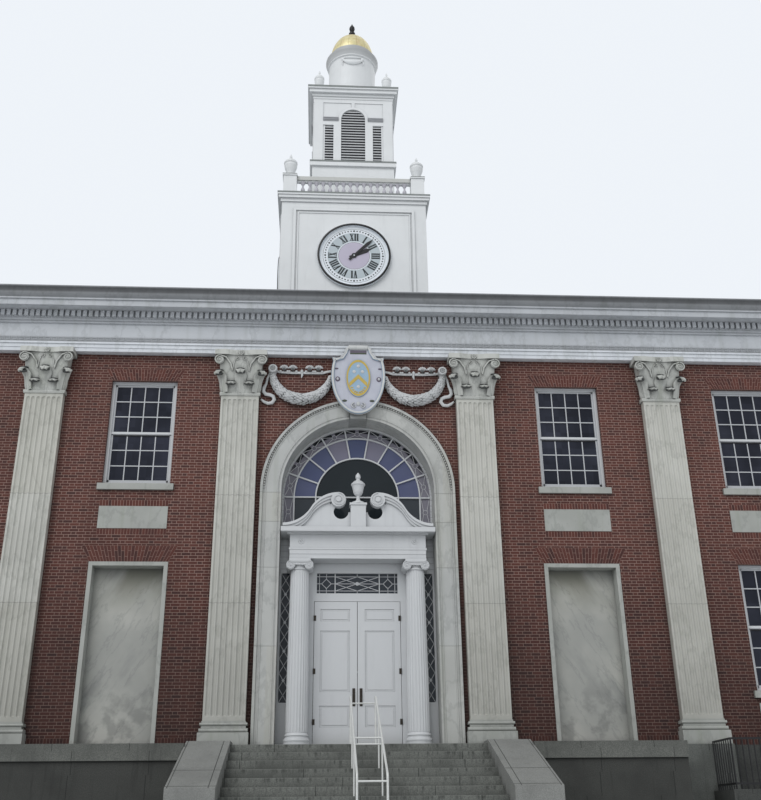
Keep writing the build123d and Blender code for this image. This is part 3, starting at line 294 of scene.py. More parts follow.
class Value:
    """A number that the nodes of a material work out. Its arithmetic adds nodes."""

    def __init__(self, look, socket):
        self.look = look
        self.socket = socket

    def __add__(self, other):
        return self.look.math("ADD", self, other)

    def __radd__(self, other):
        return self.look.math("ADD", other, self)

    def __sub__(self, other):
        return self.look.math("SUBTRACT", self, other)

    def __rsub__(self, other):
        return self.look.math("SUBTRACT", other, self)

    def __mul__(self, other):
        return self.look.math("MULTIPLY", self, other)

    def __truediv__(self, other):
        return self.look.math("DIVIDE", self, other)

    def __mod__(self, other):
        return self.look.math("FLOORED_MODULO", self, other)

    def __gt__(self, other):
        return self.look.math("GREATER_THAN", self, other)

    def __lt__(self, other):
        return self.look.math("LESS_THAN", self, other)

    def __abs__(self):
        return self.look.math("ABSOLUTE", self)

    def floor(self):
        return self.look.math("FLOOR", self)

    def fract(self):
        return self.look.math("FRACT", self)

    def least(self, other):
        return self.look.math("MINIMUM", self, other)

    def most(self, other):
        return self.look.math("MAXIMUM", self, other)


class Look:
    """A material, with short ways to add its nodes."""

    def __init__(self, name, roughness=0.6, metallic=0.0):
        self.material = bpy.data.materials.new(name)
        self.material.use_nodes = True
        tree = self.material.node_tree
        self.nodes = tree.nodes
        self.links = tree.links
        self.shader = tree.nodes["Principled BSDF"]
        self.set("Roughness", roughness)
        self.set("Metallic", metallic)
        self.where = Value(self, self.node("ShaderNodeTexCoord").outputs["Object"])
        self.x, self.y, self.z = self.parts(self.where)

    def node(self, kind, **settings):
        made = self.nodes.new(kind)
        for key, value in settings.items():
            setattr(made, key, value)
        return made

    def feed(self, socket, value):
        if isinstance(value, Value):
            self.links.new(value.socket, socket)
        elif isinstance(value, tuple) and len(socket.default_value) == 4:
            socket.default_value = (*value, 1)
        else:
            socket.default_value = value

    def set(self, name, value):
        self.feed(self.shader.inputs[name], value)

    def made(self, kind, output, inputs, **settings):
        """A new node's output, its inputs fed by name or number."""
        node = self.node(kind, **settings)
        for key, value in inputs.items():
            self.feed(node.inputs[key], value)
        return Value(self, node.outputs[output])

    def math(self, operation, a, b=0.0, c=0.0):
        return self.made("ShaderNodeMath", 0, {0: a, 1: b, 2: c}, operation=operation)

    def parts(self, vector):
        split = self.node("ShaderNodeSeparateXYZ")
        self.feed(split.inputs[0], vector)
        return [Value(self, output) for output in split.outputs]

    def vector(self, *parts):
        return self.made("ShaderNodeCombineXYZ", 0, dict(enumerate(parts)))

    def noise(self, scale, detail=3.0, stretch=(1, 1, 1), rough=0.55, where=None):
        place = self.made("ShaderNodeMapping", 0, {"Vector": where or self.where, "Scale": stretch})
        settings = {"Vector": place, "Scale": scale, "Detail": detail, "Roughness": rough}
        return self.made("ShaderNodeTexNoise", "Fac", settings)

    def patches(self, scale, detail, low, high, squeeze=1):
        """Soft spots, 0 to 1. Squeeze under 1 draws them out to upright streaks."""
        return self.step(self.noise(scale, detail, stretch=(1, 1, squeeze)), low, high)

    def random(self, *parts):
        return self.made("ShaderNodeTexWhiteNoise", "Value", {0: self.vector(*parts)}, noise_dimensions="3D")

    def ramp(self, value, *stops):
        made = self.node("ShaderNodeValToRGB")
        self.feed(made.inputs[0], value)
        elements = made.color_ramp.elements
        while len(elements) < len(stops):
            elements.new(0.5)
        for element, (place, color) in zip(elements, stops):
            element.position = place
            element.color = (*color, 1) if isinstance(color, tuple) else (color, color, color, 1)
        return Value(self, made.outputs[0])

    def mix(self, factor, a, b, mode="MIX"):
        return self.made("ShaderNodeMix", 2, {0: factor, 6: a, 7: b}, data_type="RGBA", blend_type=mode)

    def times(self, tone, shade):
        return self.mix(1.0, tone, shade, "MULTIPLY")

    def choose(self, factor, a, b):
        return self.made("ShaderNodeMix", 0, {0: factor, 2: a, 3: b}, data_type="FLOAT")

    def step(self, value, low, high):
        """0 below low, 1 above high, smooth between."""
        inputs = {"Value": value, "From Min": low, "From Max": high}
        return self.made("ShaderNodeMapRange", "Result", inputs, interpolation_type="SMOOTHSTEP", clamp=True)

    def near(self, value, levels, half):
        """1 within half of any of the levels."""
        total = 0.0
        for level in levels:
            total = self.math("MAXIMUM", total, abs(value - level) < half)
        return total

    def banded(self, tone, bands):
        """Darkens a tone by height, from (z, share) pairs."""
        low, high = bands[0][0], bands[-1][0]
        stops = [((z - low) / (high - low), share) for z, share in bands]
        return self.times(tone, self.ramp((self.z - low) / (high - low), *stops))

    def darker_low(self, tone):
        """Brickwork grows darker towards the ground."""
        stops = ((0.0, 0.44), (0.16, 0.50), (0.36, 0.74), (0.6, 0.95), (1.0, 0.92))
        return self.times(tone, self.ramp((self.z - FLOOR) / 9.0, *stops))

    def shade_creases(self, tone, crease_shade, reach=0.15, share=0.6):
        """Painted shade: darker in corners, hollows and under mouldings, by ambient occlusion."""
        shelter = self.made("ShaderNodeAmbientOcclusion", "AO", {"Distance": reach}, samples=4)
        return self.mix((1.0 - self.step(shelter, 0.35, 0.95)) * share, tone, crease_shade)

    def facing(self):
        """For X, Y and Z: 1 where the surface faces along it, on either side."""
        normal = Value(self, self.node("ShaderNodeNewGeometry").outputs["True Normal"])
        return [abs(part) > 0.7 for part in self.parts(normal)]

    def done(self, color, height=None, depth=0.001):
        """Gives the finished material its colour and its relief."""
        self.set("Base Color", color)
        if height:
            bump = self.made("ShaderNodeBump", 0, {"Distance": depth, "Strength": 1.0, "Height": height})
            self.set("Normal", bump)
        return self.material


def faded(tone, share):
    return tuple(c * share for c in tone)


# Brickwork
BRICK_TONES = ((0.0, (0.035, 0.011, 0.013)), (0.25, (0.074, 0.017, 0.015)), (0.55, (0.098, 0.023, 0.018)),
               (0.8, (0.124, 0.034, 0.025)), (1.0, (0.060, 0.018, 0.018)))
BRICK_BLOOM = (0.18, 0.08, 0.06)
MORTAR = (0.44, 0.295, 0.245)
MORTAR_DARK = (0.34, 0.225, 0.19)


def brick_look():
    """Flemish bond: stretchers and headers by turns in each course, set over by half in the next."""
    look = Look("brickwork", roughness=0.85)
    side, _, flat = look.facing()
    along = look.choose(side, look.x, look.y)
    level = (look.choose(flat, look.z, look.y) - FLOOR) / COURSE
    row = level.floor()
    lift = level.fract()
    run = along / PERIOD + row % 2.0 * 0.5
    part = run.fract()
    split = (BRICK + JOINT) / PERIOD
    ends = part.least(1.0 - part).least(abs(part - split))
    beds = lift.least(1.0 - lift) * COURSE
    face = look.step((ends * PERIOD).least(beds), 0.0035, 0.0075)
    pick = look.random(run.floor() + (part > split) * 0.37, row, side)
    tone = look.ramp(pick, *BRICK_TONES)
    tone = look.mix(look.noise(60, 4), tone, look.mix(0.45, tone, BRICK_BLOOM))
    tone = look.mix(face, look.mix(look.noise(3, 4), MORTAR_DARK, MORTAR), tone)
    tone = look.times(tone, look.ramp(look.noise(0.45, 5), (0.25, 0.78), (0.75, 1.12)))
    tone = look.times(tone, look.ramp(look.noise(1.6, 4, stretch=(1, 1, 0.18)), (0.3, 0.86), (0.7, 1.08)))
    # Painted shade in corners and under mouldings.
    tone = look.shade_creases(look.darker_low(tone), (0.030, 0.018, 0.016), 0.20, 0.5)
    return look.done(tone, face + look.noise(180, 2) * 0.25, 0.004)


def loose_brick_look():
    """Bricks that are pieces of their own: each takes its tone from its island of the mesh."""
    look = Look("gauged_brick", roughness=0.85)
    pick = Value(look, look.node("ShaderNodeNewGeometry").outputs["Random Per Island"])
    tone = look.ramp(pick, *BRICK_TONES)
    tone = look.mix(look.noise(60, 4), tone, look.mix(0.4, tone, BRICK_BLOOM))
    return look.done(look.darker_low(tone), look.noise(180, 2), 0.001)


def mortar_look():
    look = Look("mortar", roughness=0.95)
    tone = look.darker_low(look.mix(look.noise(3, 4), MORTAR_DARK, MORTAR))
    return look.done(tone, look.noise(220, 3), 0.0015)


# Stone
def stone_look(name, light, dark, vein, levels=(), streaks=0.35, bands=(), crease_shade=0.55, shield_shadow=False):
    """Veined marble with joints at the given heights, rain streaks and a little green stain."""
    look = Look(name, roughness=0.55)
    tone = look.mix(look.patches(0.9, 4, 0.3, 0.7), dark, light)
    tone = look.mix(look.noise(35, 5) * 0.35, tone, dark)
    line = abs(look.noise(1.3, 6, stretch=(1, 1, 0.55), rough=0.62) - 0.5)
    tone = look.mix((1.0 - look.step(line, 0.0, 0.035)) * 0.5, tone, vein)
    tone = look.mix(look.patches(4.5, 5, 0.5, 0.75, squeeze=0.06) * streaks, tone, (0.25, 0.28, 0.21))
    height = look.noise(90, 3)
    if levels:
        joint = look.near(look.z, levels, 0.006)
        block = 0.0
        for level in levels:
            block = block + (look.z > level)
        warm = look.random(block, (look.x / 2.0).floor(), 3.0)
        tone = look.mix(warm * 0.28, tone, (0.50, 0.48, 0.39))
        tone = look.mix(joint * 0.45, tone, (0.10, 0.10, 0.09))
        height = height - joint * 2.0
    # Painted shadow of the shield on the keystone.
    if shield_shadow:
        middle = abs(look.x) < 0.22
        top = look.step(look.z, SPRING + 1.5, SPRING + 2.0)
        tone = look.mix(middle * top * 0.6, tone, (0.08, 0.085, 0.08))
    if bands:
        tone = look.banded(tone, bands)
    # Painted shade in corners and under mouldings.
    return look.done(look.shade_creases(tone, faded(dark, 0.25), 0.12, crease_shade), height, 0.0012)


def veined_look():
    """Book-matched marble slabs with soft slanting veins, smudged at the foot."""
    look = Look("veined_marble", roughness=0.5)
    away = abs(look.x)
    along = look.vector(away * 0.85 + look.z * 0.50, look.y, look.z * 0.24 - away * 0.12)
    tone = look.mix(look.patches(0.5, 4, 0.35, 0.65), (0.355, 0.36, 0.338), (0.49, 0.49, 0.452))
    soft = look.step(look.noise(1.9, 5, where=along), 0.50, 0.68)
    tone = look.mix(soft * 0.50, tone, (0.19, 0.20, 0.20))
    line = abs(look.noise(2.3, 6, where=along, rough=0.6) - 0.5)
    tone = look.mix((1.0 - look.step(line, 0.0, 0.022)) * 0.25, tone, (0.15, 0.16, 0.16))
    smudge = look.patches(2.4, 5, 0.48, 0.64) * look.step(look.z, FLOOR + 1.9, FLOOR + 0.5)
    tone = look.mix(smudge * 0.45, tone, (0.13, 0.135, 0.13))
    head = LOWER[1]
    # Greener and darker in patches towards the niche's head.
    green_towards_head = look.step(look.z, head - 1.3, head - 0.15)
    green_towards_head = green_towards_head * look.step(look.noise(1.6, 4, where=along), 0.30, 0.60)
    tone = look.mix(green_towards_head * 0.75, tone, (0.150, 0.150, 0.105))
    # Painted shadow: the slabs darken towards the niche's head.
    tone = look.banded(tone, ((FLOOR, 1.0), (head - 0.50, 1.0), (head - 0.22, 0.80), (head, 0.42)))
    # Painted shade in corners and under the niche's head.
    return look.done(look.shade_creases(tone, (0.08, 0.085, 0.08), 0.15, 0.5), look.noise(90, 3), 0.0008)


def granite_look(name, light, dark, stain=0.5, block=(1.5, 0.45), bands=(), edges=(), cuts=(), riser=0.0):
    """Speckled granite in blocks, with fine joints and rain stains.

    Edges and cuts are lines cut in its top, at distances from the middle and along Y. Under each
    riser's nosing hang dark drips.
    """
    look = Look(name, roughness=0.75)
    long, high = block
    speck = look.mix(look.step(look.noise(55, 6, rough=0.75), 0.4, 0.62), dark, light)
    side, _, flat = look.facing()
    row = (look.choose(flat, look.z, look.y) / high).floor()
    run = look.choose(side, look.x, look.y) / long + look.random(row, 2.0, 5.0)
    ends = run.fract()
    joint = ends.least(1.0 - ends) * long < 0.006
    pick = look.random(run.floor(), row, 1.0)
    tone = look.mix(pick * (0.18 if riser else 0.35), speck, dark)
    tone = look.mix(look.patches(1.1, 5, 0.42, 0.7) * stain, tone, faded(dark, 0.5))
    tone = look.mix(look.patches(9, 4, 0.55, 0.75, squeeze=0.1) * (stain * 0.8), tone, faded(dark, 0.4))
    if edges:
        joint = look.near(abs(look.x), edges, 0.008).most(look.near(look.y, cuts, 0.010)) * flat
    if riser:
        lift = (look.z / riser).fract()
        drip = look.step(lift, 0.35, 0.85) * look.patches(16, 4, 0.5, 0.66, squeeze=0.12)
        tone = look.mix(drip * 0.7, tone, faded(dark, 0.3))
        tone = look.mix((lift > 0.93) * 0.35, tone, light)
    tone = look.mix(joint * 0.8, tone, (0.02, 0.022, 0.02))
    if bands:
        tone = look.banded(tone, bands)
    # Painted shade in corners and under ledges.
    tone = look.shade_creases(tone, faded(dark, 0.2), 0.15, 0.5)
    return look.done(tone, look.noise(120, 3) - joint * 3.0, 0.0015)


# Painted wood and stone
WHITE = (0.66, 0.675, 0.69)


def paint_look(name, tone, bands=(), crease_shade=0.4):
    """White gloss paint on wood, with faint brush lines, dirt streaks and painted shade in its corners."""
    look = Look(name, roughness=0.45)
    color = look.mix(look.patches(1.4, 5, 0.35, 0.75), tone, faded(tone, 0.95))
    color = look.mix(look.patches(7, 4, 0.52, 0.8, squeeze=0.12) * 0.5, color, faded(tone, 0.86))
    height = look.noise(140, 3, stretch=(1, 1, 0.15))
    if bands:
        color = look.banded(color, bands)
    # Painted shade in corners and under mouldings.
    return look.done(look.shade_creases(color, (0.16, 0.165, 0.17), 0.10, crease_shade), height, 0.0008)


def door_look():
    """White paint on the leaf. Whatever stands proud of it, the pulls and hinges, is dark bronze."""
    look = Look("door_paint", roughness=0.42)
    paint = look.mix(look.patches(6, 4, 0.5, 0.8, squeeze=0.15) * 0.3, WHITE, faded(WHITE, 0.85))
    foot = look.step(look.z, FLOOR + 0.4, FLOOR)
    paint = look.mix(foot * 0.35, paint, (0.34, 0.34, 0.32))
    # Painted shade at the edges of the panels.
    paint = look.shade_creases(paint, (0.20, 0.205, 0.21), 0.05, 0.75)
    bronze = look.y < 0.4705
    look.set("Metallic", bronze * 0.6)
    tone = look.mix(bronze, paint, (0.050, 0.042, 0.034))
    return look.done(tone, look.noise(140, 3, stretch=(1, 1, 0.15)), 0.0006)


def screen_look():
    """White paint with board joints beside the columns."""
    look = Look("screen_paint", roughness=0.45)
    tone = look.mix(look.patches(5, 4, 0.5, 0.8, squeeze=0.2) * 0.3, WHITE, faded(WHITE, 0.85))
    beside = abs(look.x) > 1.5
    above = look.z > FLOOR + 3.85
    gap = ((look.z / 0.14).fract() < 0.07) * (beside * above)
    tone = look.mix(gap * 0.6, tone, (0.20, 0.20, 0.21))
    # Painted shade in corners and under mouldings.
    tone = look.shade_creases(tone, (0.16, 0.165, 0.17), 0.12, 0.5)
    return look.done(tone, look.noise(140, 3) - gap * 3.0, 0.001)


def arms_look():
    """The painted shield: white rim and crest, lilac field, light blue oval."""
    look = Look("painted_shield", roughness=0.5)
    field = look.mix(look.noise(5, 4), (0.46, 0.47, 0.55), (0.60, 0.62, 0.69))
    oval = look.mix(look.noise(7, 4), (0.24, 0.40, 0.55), (0.42, 0.55, 0.68))
    white = look.mix(look.noise(5, 4), (0.60, 0.61, 0.60), (0.70, 0.71, 0.70))
    tone = look.mix(look.y < -0.312, field, oval)
    for part in (look.y < -0.333, look.z > WALL_TOP + 0.09, look.y > -0.29):
        tone = look.mix(part, tone, white)
    tone = look.mix(look.patches(8, 4, 0.5, 0.8, squeeze=0.12) * 0.3, tone, (0.30, 0.34, 0.33))
    # Painted shade in the shield's hollows.
    return look.done(look.shade_creases(tone, (0.14, 0.14, 0.17), 0.08, 0.6), look.noise(40, 4), 0.002)


# Glass
def glass_look():
    """Old sheet glass in front of dark rooms, with painted reflections in some panes and a slow wave in each
    pane.
    """
    look = Look("window_glass", roughness=0.08)
    # Some panes and soft patches lighter: painted reflections.
    pane = look.random((look.x / 0.356).floor(), (look.y / 0.356).floor(), (look.z / 0.42).floor())
    share = look.patches(0.8, 3, 0.35, 0.7) * 0.7 + pane * 0.3
    look.set("Specular IOR Level", 0.16)
    tone = look.mix(share, (0.014, 0.016, 0.024), (0.046, 0.050, 0.072))
    return look.done(tone, look.noise(1.6, 1), 0.004)


def fan_glass_look():
    """Panes of the entrance.

    They are dark inside the inner ring, blue to lilac between the rings and grey lilac outside.
    """
    look = Look("fan_glass", roughness=0.12)
    rise = look.z - SPRING
    radius = look.math("SQRT", look.x * look.x + rise * rise)
    below = rise < 0.0
    reach = look.choose(below, radius, abs(look.x))
    turn = look.math("ARCTAN2", rise, look.x) / (math.pi / 9)
    sector = turn.floor()
    pane = look.mix(look.random(sector, 1.0, 2.0), (0.060, 0.080, 0.175), (0.100, 0.112, 0.215))
    pale = look.math("COMPARE", abs(sector - 4.0), 1.0, 0.2)
    pane = look.mix(pale, pane, (0.25, 0.235, 0.30))
    pane = look.mix(look.noise(2.5, 3) * 0.45, pane, (0.16, 0.18, 0.26))
    pane = look.mix(below, pane, (0.052, 0.060, 0.070))
    outer = look.mix(look.noise(3.0, 3), (0.15, 0.15, 0.185), (0.30, 0.285, 0.33))
    beside = abs(turn.fract() - 0.5) > 0.07
    shadow = look.step(radius, 1.64, 1.68) * look.step(rise, 0.5, 0.9)
    outer = look.mix(shadow * beside, outer, (0.022, 0.024, 0.028))
    inner = look.mix(look.noise(1.2, 2), (0.016, 0.022, 0.026), (0.028, 0.036, 0.042))
    tone = look.mix(reach > 0.99, inner, pane)
    tone = look.mix(reach > 1.505, tone, outer)
    lowest = look.mix(look.noise(2.0, 2), (0.030, 0.036, 0.045), (0.075, 0.085, 0.10))
    look.set("Specular IOR Level", 0.25)
    return look.done(look.mix(rise < -0.75, tone, lowest), look.noise(2.0, 1), 0.003)


# Roof, metal and all that is plain
def plain_look(name, tone, roughness=0.5, metallic=0.0, spread=0.15, scale=20):
    look = Look(name, roughness, metallic)
    light = tuple(min(1.0, c * (1 + spread)) for c in tone)
    color = look.mix(look.noise(scale, 5), faded(tone, 1 - spread), light)
    stops = ((0.2, roughness * 0.8), (0.8, min(1.0, roughness * 1.25)))
    look.set("Roughness", look.ramp(look.noise(scale / 2, 4), *stops))
    return look.done(color, look.noise(scale * 8, 3), 0.0006)


def slate_look():
    look = Look("slates", roughness=0.6)
    normal = Value(look, look.node("ShaderNodeNewGeometry").outputs["True Normal"])
    normal_x, normal_y, _ = look.parts(normal)
    across = abs(normal_x) > abs(normal_y)
    level = look.z / 0.070
    row = level.floor()
    run = look.choose(across, look.x, look.y) / 0.30 + row * 0.5
    part = run.fract()
    ends = part.least(1.0 - part) * 0.30
    gap = (ends < 0.005).most(level.fract() < 0.10)
    tone = look.ramp(look.random(run.floor(), row, across), (0.0, (0.045, 0.052, 0.060)),
                     (0.4, (0.075, 0.082, 0.090)), (0.8, (0.060, 0.062, 0.075)), (1.0, (0.095, 0.098, 0.10)))
    tone = look.mix(look.patches(2.0, 5, 0.5, 0.8) * 0.4, tone, (0.10, 0.115, 0.10))
    tone = look.mix(gap * 0.75, tone, (0.016, 0.018, 0.020))
    return look.done(tone, look.noise(60, 4) - gap * 2.0, 0.004)


def gold_look():
    look = Look("gold_leaf", roughness=0.38, metallic=0.30)
    leaf = look.random(*((part / 0.09).floor() for part in (look.x, look.y, look.z)))
    tone = look.mix(leaf, (0.74, 0.64, 0.32), (0.87, 0.79, 0.47))
    tone = look.mix(look.patches(4, 5, 0.5, 0.8), tone, (0.78, 0.58, 0.36))
    turn = look.math("ARCTAN2", look.y - TOWER_Y, look.x)
    seam = abs((turn / (math.pi / 8)).fract() - 0.5) < 0.03
    look.set("Roughness", look.ramp(look.noise(12, 4), (0.2, 0.30), (0.8, 0.5)))
    return look.done(look.mix(seam * 0.5, tone, (0.30, 0.22, 0.09)), look.noise(30, 4), 0.003)


shaft_foot, shaft_head = (corner.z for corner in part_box("pilaster_shafts"))
SHAFT_JOINTS = [shaft_foot + (shaft_head - shaft_foot) * k / 3 for k in (1, 2)]
SHAFT_BANDS = ((FLOOR, 0.62), (FLOOR + 2.5, 0.74), (FLOOR + 6.0, 0.86), (WALL_TOP, 0.80))
ARCH_JOINTS = [FLOOR + z for z in (2.10, 3.85, 4.92, 5.62)]
# Cornice stone darkened band by band by height: painted shade under its mouldings.
TRIM_SHADE_STEPS = ((0.0, 1.0), (0.235, 1.0), (0.245, 0.55), (0.37, 0.55), (0.38, 0.80), (0.74, 0.80), (0.76, 0.68),
              (1.215, 0.72), (1.235, 0.36), (1.33, 0.32), (1.37, 0.17), (1.44, 0.15), (1.49, 0.45))
TRIM_SHADE_BANDS = [(WALL_TOP + z, share) for z, share in TRIM_SHADE_STEPS]
# Terrace granite by height: painted shade on the wall under the coping, with a darker painted shadow line
# just beneath it.
TERRACE_SHADE_BANDS = ((0.0, 0.34), (FLOOR - 0.345, 0.34), (FLOOR - 0.340, 0.15), (FLOOR - 0.322, 0.15),
                 (FLOOR - 0.318, 1.0), (FLOOR, 0.9))
# Drum paint darkened towards its top: painted shade under its cornice and the dome.
DRUM_SHADE_BANDS = ((22.6, 0.96), (24.50, 0.96), (24.56, 0.72), (24.66, 0.60), (24.84, 0.52), (24.98, 0.62))

brick = brick_look()
gauged = loose_brick_look()
mortar = mortar_look()

marble = stone_look("marble", (0.45, 0.46, 0.435), (0.36, 0.37, 0.345), (0.28, 0.29, 0.27))
shaft_marble = stone_look("shaft_marble", (0.77, 0.77, 0.715), (0.65, 0.65, 0.60), (0.50, 0.505, 0.46),
                          SHAFT_JOINTS, 0.15, SHAFT_BANDS, crease_shade=0.22)
arch_marble = stone_look("arch_marble", (0.55, 0.56, 0.545), (0.45, 0.46, 0.45), (0.34, 0.35, 0.345),
                         ARCH_JOINTS, 0.25, shield_shadow=True)
trim_stone = stone_look("trim_stone", (0.78, 0.81, 0.85), (0.68, 0.71, 0.75), (0.56, 0.585, 0.61),
                        streaks=0.2, bands=TRIM_SHADE_BANDS, crease_shade=0.42)
capital_marble = stone_look("capital_marble", (0.62, 0.63, 0.595), (0.50, 0.51, 0.48), (0.36, 0.37, 0.345),
                            crease_shade=0.9)
carved = stone_look("carved_white", (0.70, 0.71, 0.72), (0.58, 0.59, 0.60), (0.46, 0.48, 0.48), streaks=0.3)
veined = veined_look()

granite = granite_look("granite", (0.085, 0.088, 0.082), (0.042, 0.045, 0.042))
terrace_granite = granite_look("terrace_granite", (0.185, 0.190, 0.172), (0.100, 0.105, 0.096),
                               bands=TERRACE_SHADE_BANDS)
pedestal_granite = granite_look("pedestal_granite", (0.20, 0.21, 0.195), (0.10, 0.108, 0.10))
step_granite = granite_look("step_granite", (0.24, 0.25, 0.23), (0.135, 0.142, 0.13), 0.55, (2.2, 0.176),
                            riser=0.176)
cheek_granite = granite_look("cheek_granite", (0.32, 0.325, 0.31), (0.22, 0.225, 0.215), 0.3, (30, 30),
                             edges=(2.745, 3.455), cuts=(-2.72, -3.56))

paint = paint_look("white_paint", WHITE)
sash_paint = paint_look("sash_paint", (0.56, 0.575, 0.60))
rail_paint = paint_look("rail_paint", (0.60, 0.61, 0.585))
tower_paint = paint_look("tower_paint", (0.84, 0.86, 0.87), crease_shade=0.5)
drum_paint = paint_look("drum_paint", (0.84, 0.86, 0.87), bands=DRUM_SHADE_BANDS)
# A darker copy of the tower's paint for the balusters: painted shade.
baluster_shaded_paint = paint_look("baluster_shaded_paint", (0.56, 0.55, 0.60))
slat_paint = paint_look("slat_paint", (0.62, 0.635, 0.65))
door_paint = door_look()
screen_paint = screen_look()
arms = arms_look()
glass = glass_look()
fan_glass = fan_glass_look()
gold = gold_look()
slates = slate_look()

flashing = plain_look("lead_flashing", (0.25, 0.27, 0.265), 0.6, spread=0.25, scale=6)
impost_lead = plain_look("impost_lead", (0.36, 0.37, 0.39), 0.6, spread=0.2, scale=6)
louvre_dark = plain_look("louvre_dark", (0.060, 0.062, 0.068), 0.8)
black = plain_look("black_metal", (0.018, 0.018, 0.020), 0.42, 0.2)
steel = plain_look("rail_metal", (0.74, 0.75, 0.73), 0.42, 0.1)
dial_white = plain_look("dial_enamel", (0.86, 0.905, 0.95), 0.3, spread=0.04, scale=4)
dial_lilac = plain_look("dial_centre", (0.58, 0.54, 0.66), 0.3, spread=0.06, scale=4)
dial_blue = plain_look("dial_ring", (0.55, 0.62, 0.66), 0.3, spread=0.06, scale=5)
dial_ink = plain_look("dial_ink", (0.022, 0.030, 0.035), 0.4, spread=0.2)
slab = plain_look("floor_slab", (0.42, 0.41, 0.39), 0.8, spread=0.1, scale=8)
leading = plain_look("leading", (0.58, 0.59, 0.61), 0.45, 0.1)
shield_gold = plain_look("shield_gold", (0.58, 0.42, 0.09), 0.45, spread=0.25, scale=9)
dark_lilac = plain_look("dark_lilac", (0.13, 0.11, 0.15), spread=0.2, scale=12)
dark_green = plain_look("dark_green", (0.07, 0.085, 0.06), 0.6, spread=0.3, scale=12)
# Painted shade between the arch's beads.
bead_shade = plain_look("painted_bead_shade", (0.17, 0.17, 0.16), 0.7, spread=0.3, scale=12)
# Dark blobs of painted shade under leaf tips and in the shells.
shade_dark = plain_look("painted_dark_shade", (0.10, 0.105, 0.105), 0.8, spread=0.3, scale=12)
# Painted shadow under the sashes' meeting rails.
sash_shade_strip = plain_look("sash_shade_strip", (0.022, 0.022, 0.026), 0.9, spread=0.2, scale=12)

NODE_LOOKS = {
    brick: "front_wall_left front_wall_right wall_over_arch left_wall right_wall back_wall",
    granite: "base_walls areaway_kerbs",
    terrace_granite: "terraces",
    pedestal_granite: "pilaster_pedestals",
    step_granite: "front_steps entrance_landing",
    cheek_granite: "cheek_walls",
    slab: "ground_floor upper_floor roof_deck",
    slates: "hipped_roof",
    shaft_marble: "pilaster_shafts",
    marble: "pilaster_bases marble_slabs window_sills niche_frames",
    capital_marble: "pilaster_capitals",
    trim_stone: "architrave_and_frieze dentil_band main_cornice",
    veined: "niche_slabs",
    arch_marble: "entrance_arch",
    paint: "window_frames fanlight_bars entrance_columns entrance_entablature swan_neck_pediment "
           "pediment_urn",
    screen_paint: "entrance_screen",
    door_paint: "door_right door_left",
    tower_paint: "clock_stage belfry_walls belfry_cornice clock_stage_cornice belfry_pedestal "
                 "tower_balustrade tower_urns",
    drum_paint: "drum",
    louvre_dark: "belfry_louvres",
    glass: "window_glass",
    fan_glass: "entrance_glass",
    dial_white: "clock_dials",
    black: "front_minute_hand front_hour_hand other_clock_hands finial areaway_railings",
    steel: "stair_handrails",
    gold: "dome",
    carved: "festoons",
    arms: "cartouche",
}
for look, names in NODE_LOOKS.items():
    for name in names.split():
        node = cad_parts[name]
        node.data.materials.clear()
        node.data.materials.append(look)


# Sash windows: two sashes of four by three panes in each frame
SASH_EDGE = 0.07
STILE = 0.045
SASH_BACK = 0.176


def sash_window(foot, head):
    shape = Shape()
    side = WINDOW / 2 - SASH_EDGE
    low, high = foot + SASH_EDGE, head - SASH_EDGE
    middle = (foot + head) / 2
    for bottom, top, out in ((low, middle, 0.158), (middle, high, 0.146)):
        for s in BOTH:
            shape.box(s * side, s * (side - STILE), out, SASH_BACK, bottom, top)
        shape.box(-side, side, out, SASH_BACK, bottom, bottom + (0.07 if bottom == low else 0.035))
        shape.box(-side, side, out, SASH_BACK, top - 0.04, top)
        for k in range(1, 4):
            x = -side + STILE + (2 * side - 2 * STILE) * k / 4
            shape.box(x - 0.012, x + 0.012, out + 0.008, SASH_BACK, bottom, top)
        for k in range(1, 3):
            z = bottom + 0.035 + (top - bottom - 0.07) * k / 3
            shape.box(-side, side, out + 0.006, SASH_BACK, z - 0.012, z + 0.012)
    shape.box(-side, side, 0.132, SASH_BACK, middle - 0.03, middle + 0.03)
    # A dark strip under the meeting rail: painted shadow of the upper sash.
    shape.box(-side + STILE, side - STILE, 0.166, SASH_BACK, middle - 0.075, middle - 0.03, 1)
    shape.box(-side - 0.07, side + 0.07, 0.09, 0.11, head - 0.05, head)
    return shape


sashes = Shape()
sashes.join(sash_window(*UPPER), *UPPER_SPOTS)
sashes.join(sash_window(*LOWER), *LOWER_SPOTS)
sashes.piece("window_sashes", [sash_paint, sash_shade_strip], slot="white_paint")


# Flat arches of splayed bricks over the openings, and soldier courses
MORTAR_FACE = (-0.002, 0.001, 1)
BRICK_FACE = (-0.006, -0.001)


def flat_arch(half, foot, courses, splay):
    shape = Shape()
    height = courses * COURSE
    wide = half + splay
    shape.prism([(-half, foot), (half, foot), (wide, foot + height), (-wide, foot + height)], *MORTAR_FACE)
    count = 2 * round(half / COURSE) + 1
    joint = JOINT / 2
    for k in range(count):
        left, right = -1 + 2 * k / count, -1 + 2 * (k + 1) / count
        cut = 0.68 if k % 2 else 0.32
        for lower, upper in ((0.0, cut), (cut, 1.0)):
            low_half, top_half = half + splay * lower, half + splay * upper
            z0, z1 = foot + height * lower + joint, foot + height * upper - joint
            shape.prism([(left * low_half + joint, z0), (right * low_half - joint, z0),
                         (right * top_half - joint, z1), (left * top_half + joint, z1)], *BRICK_FACE)
    return shape


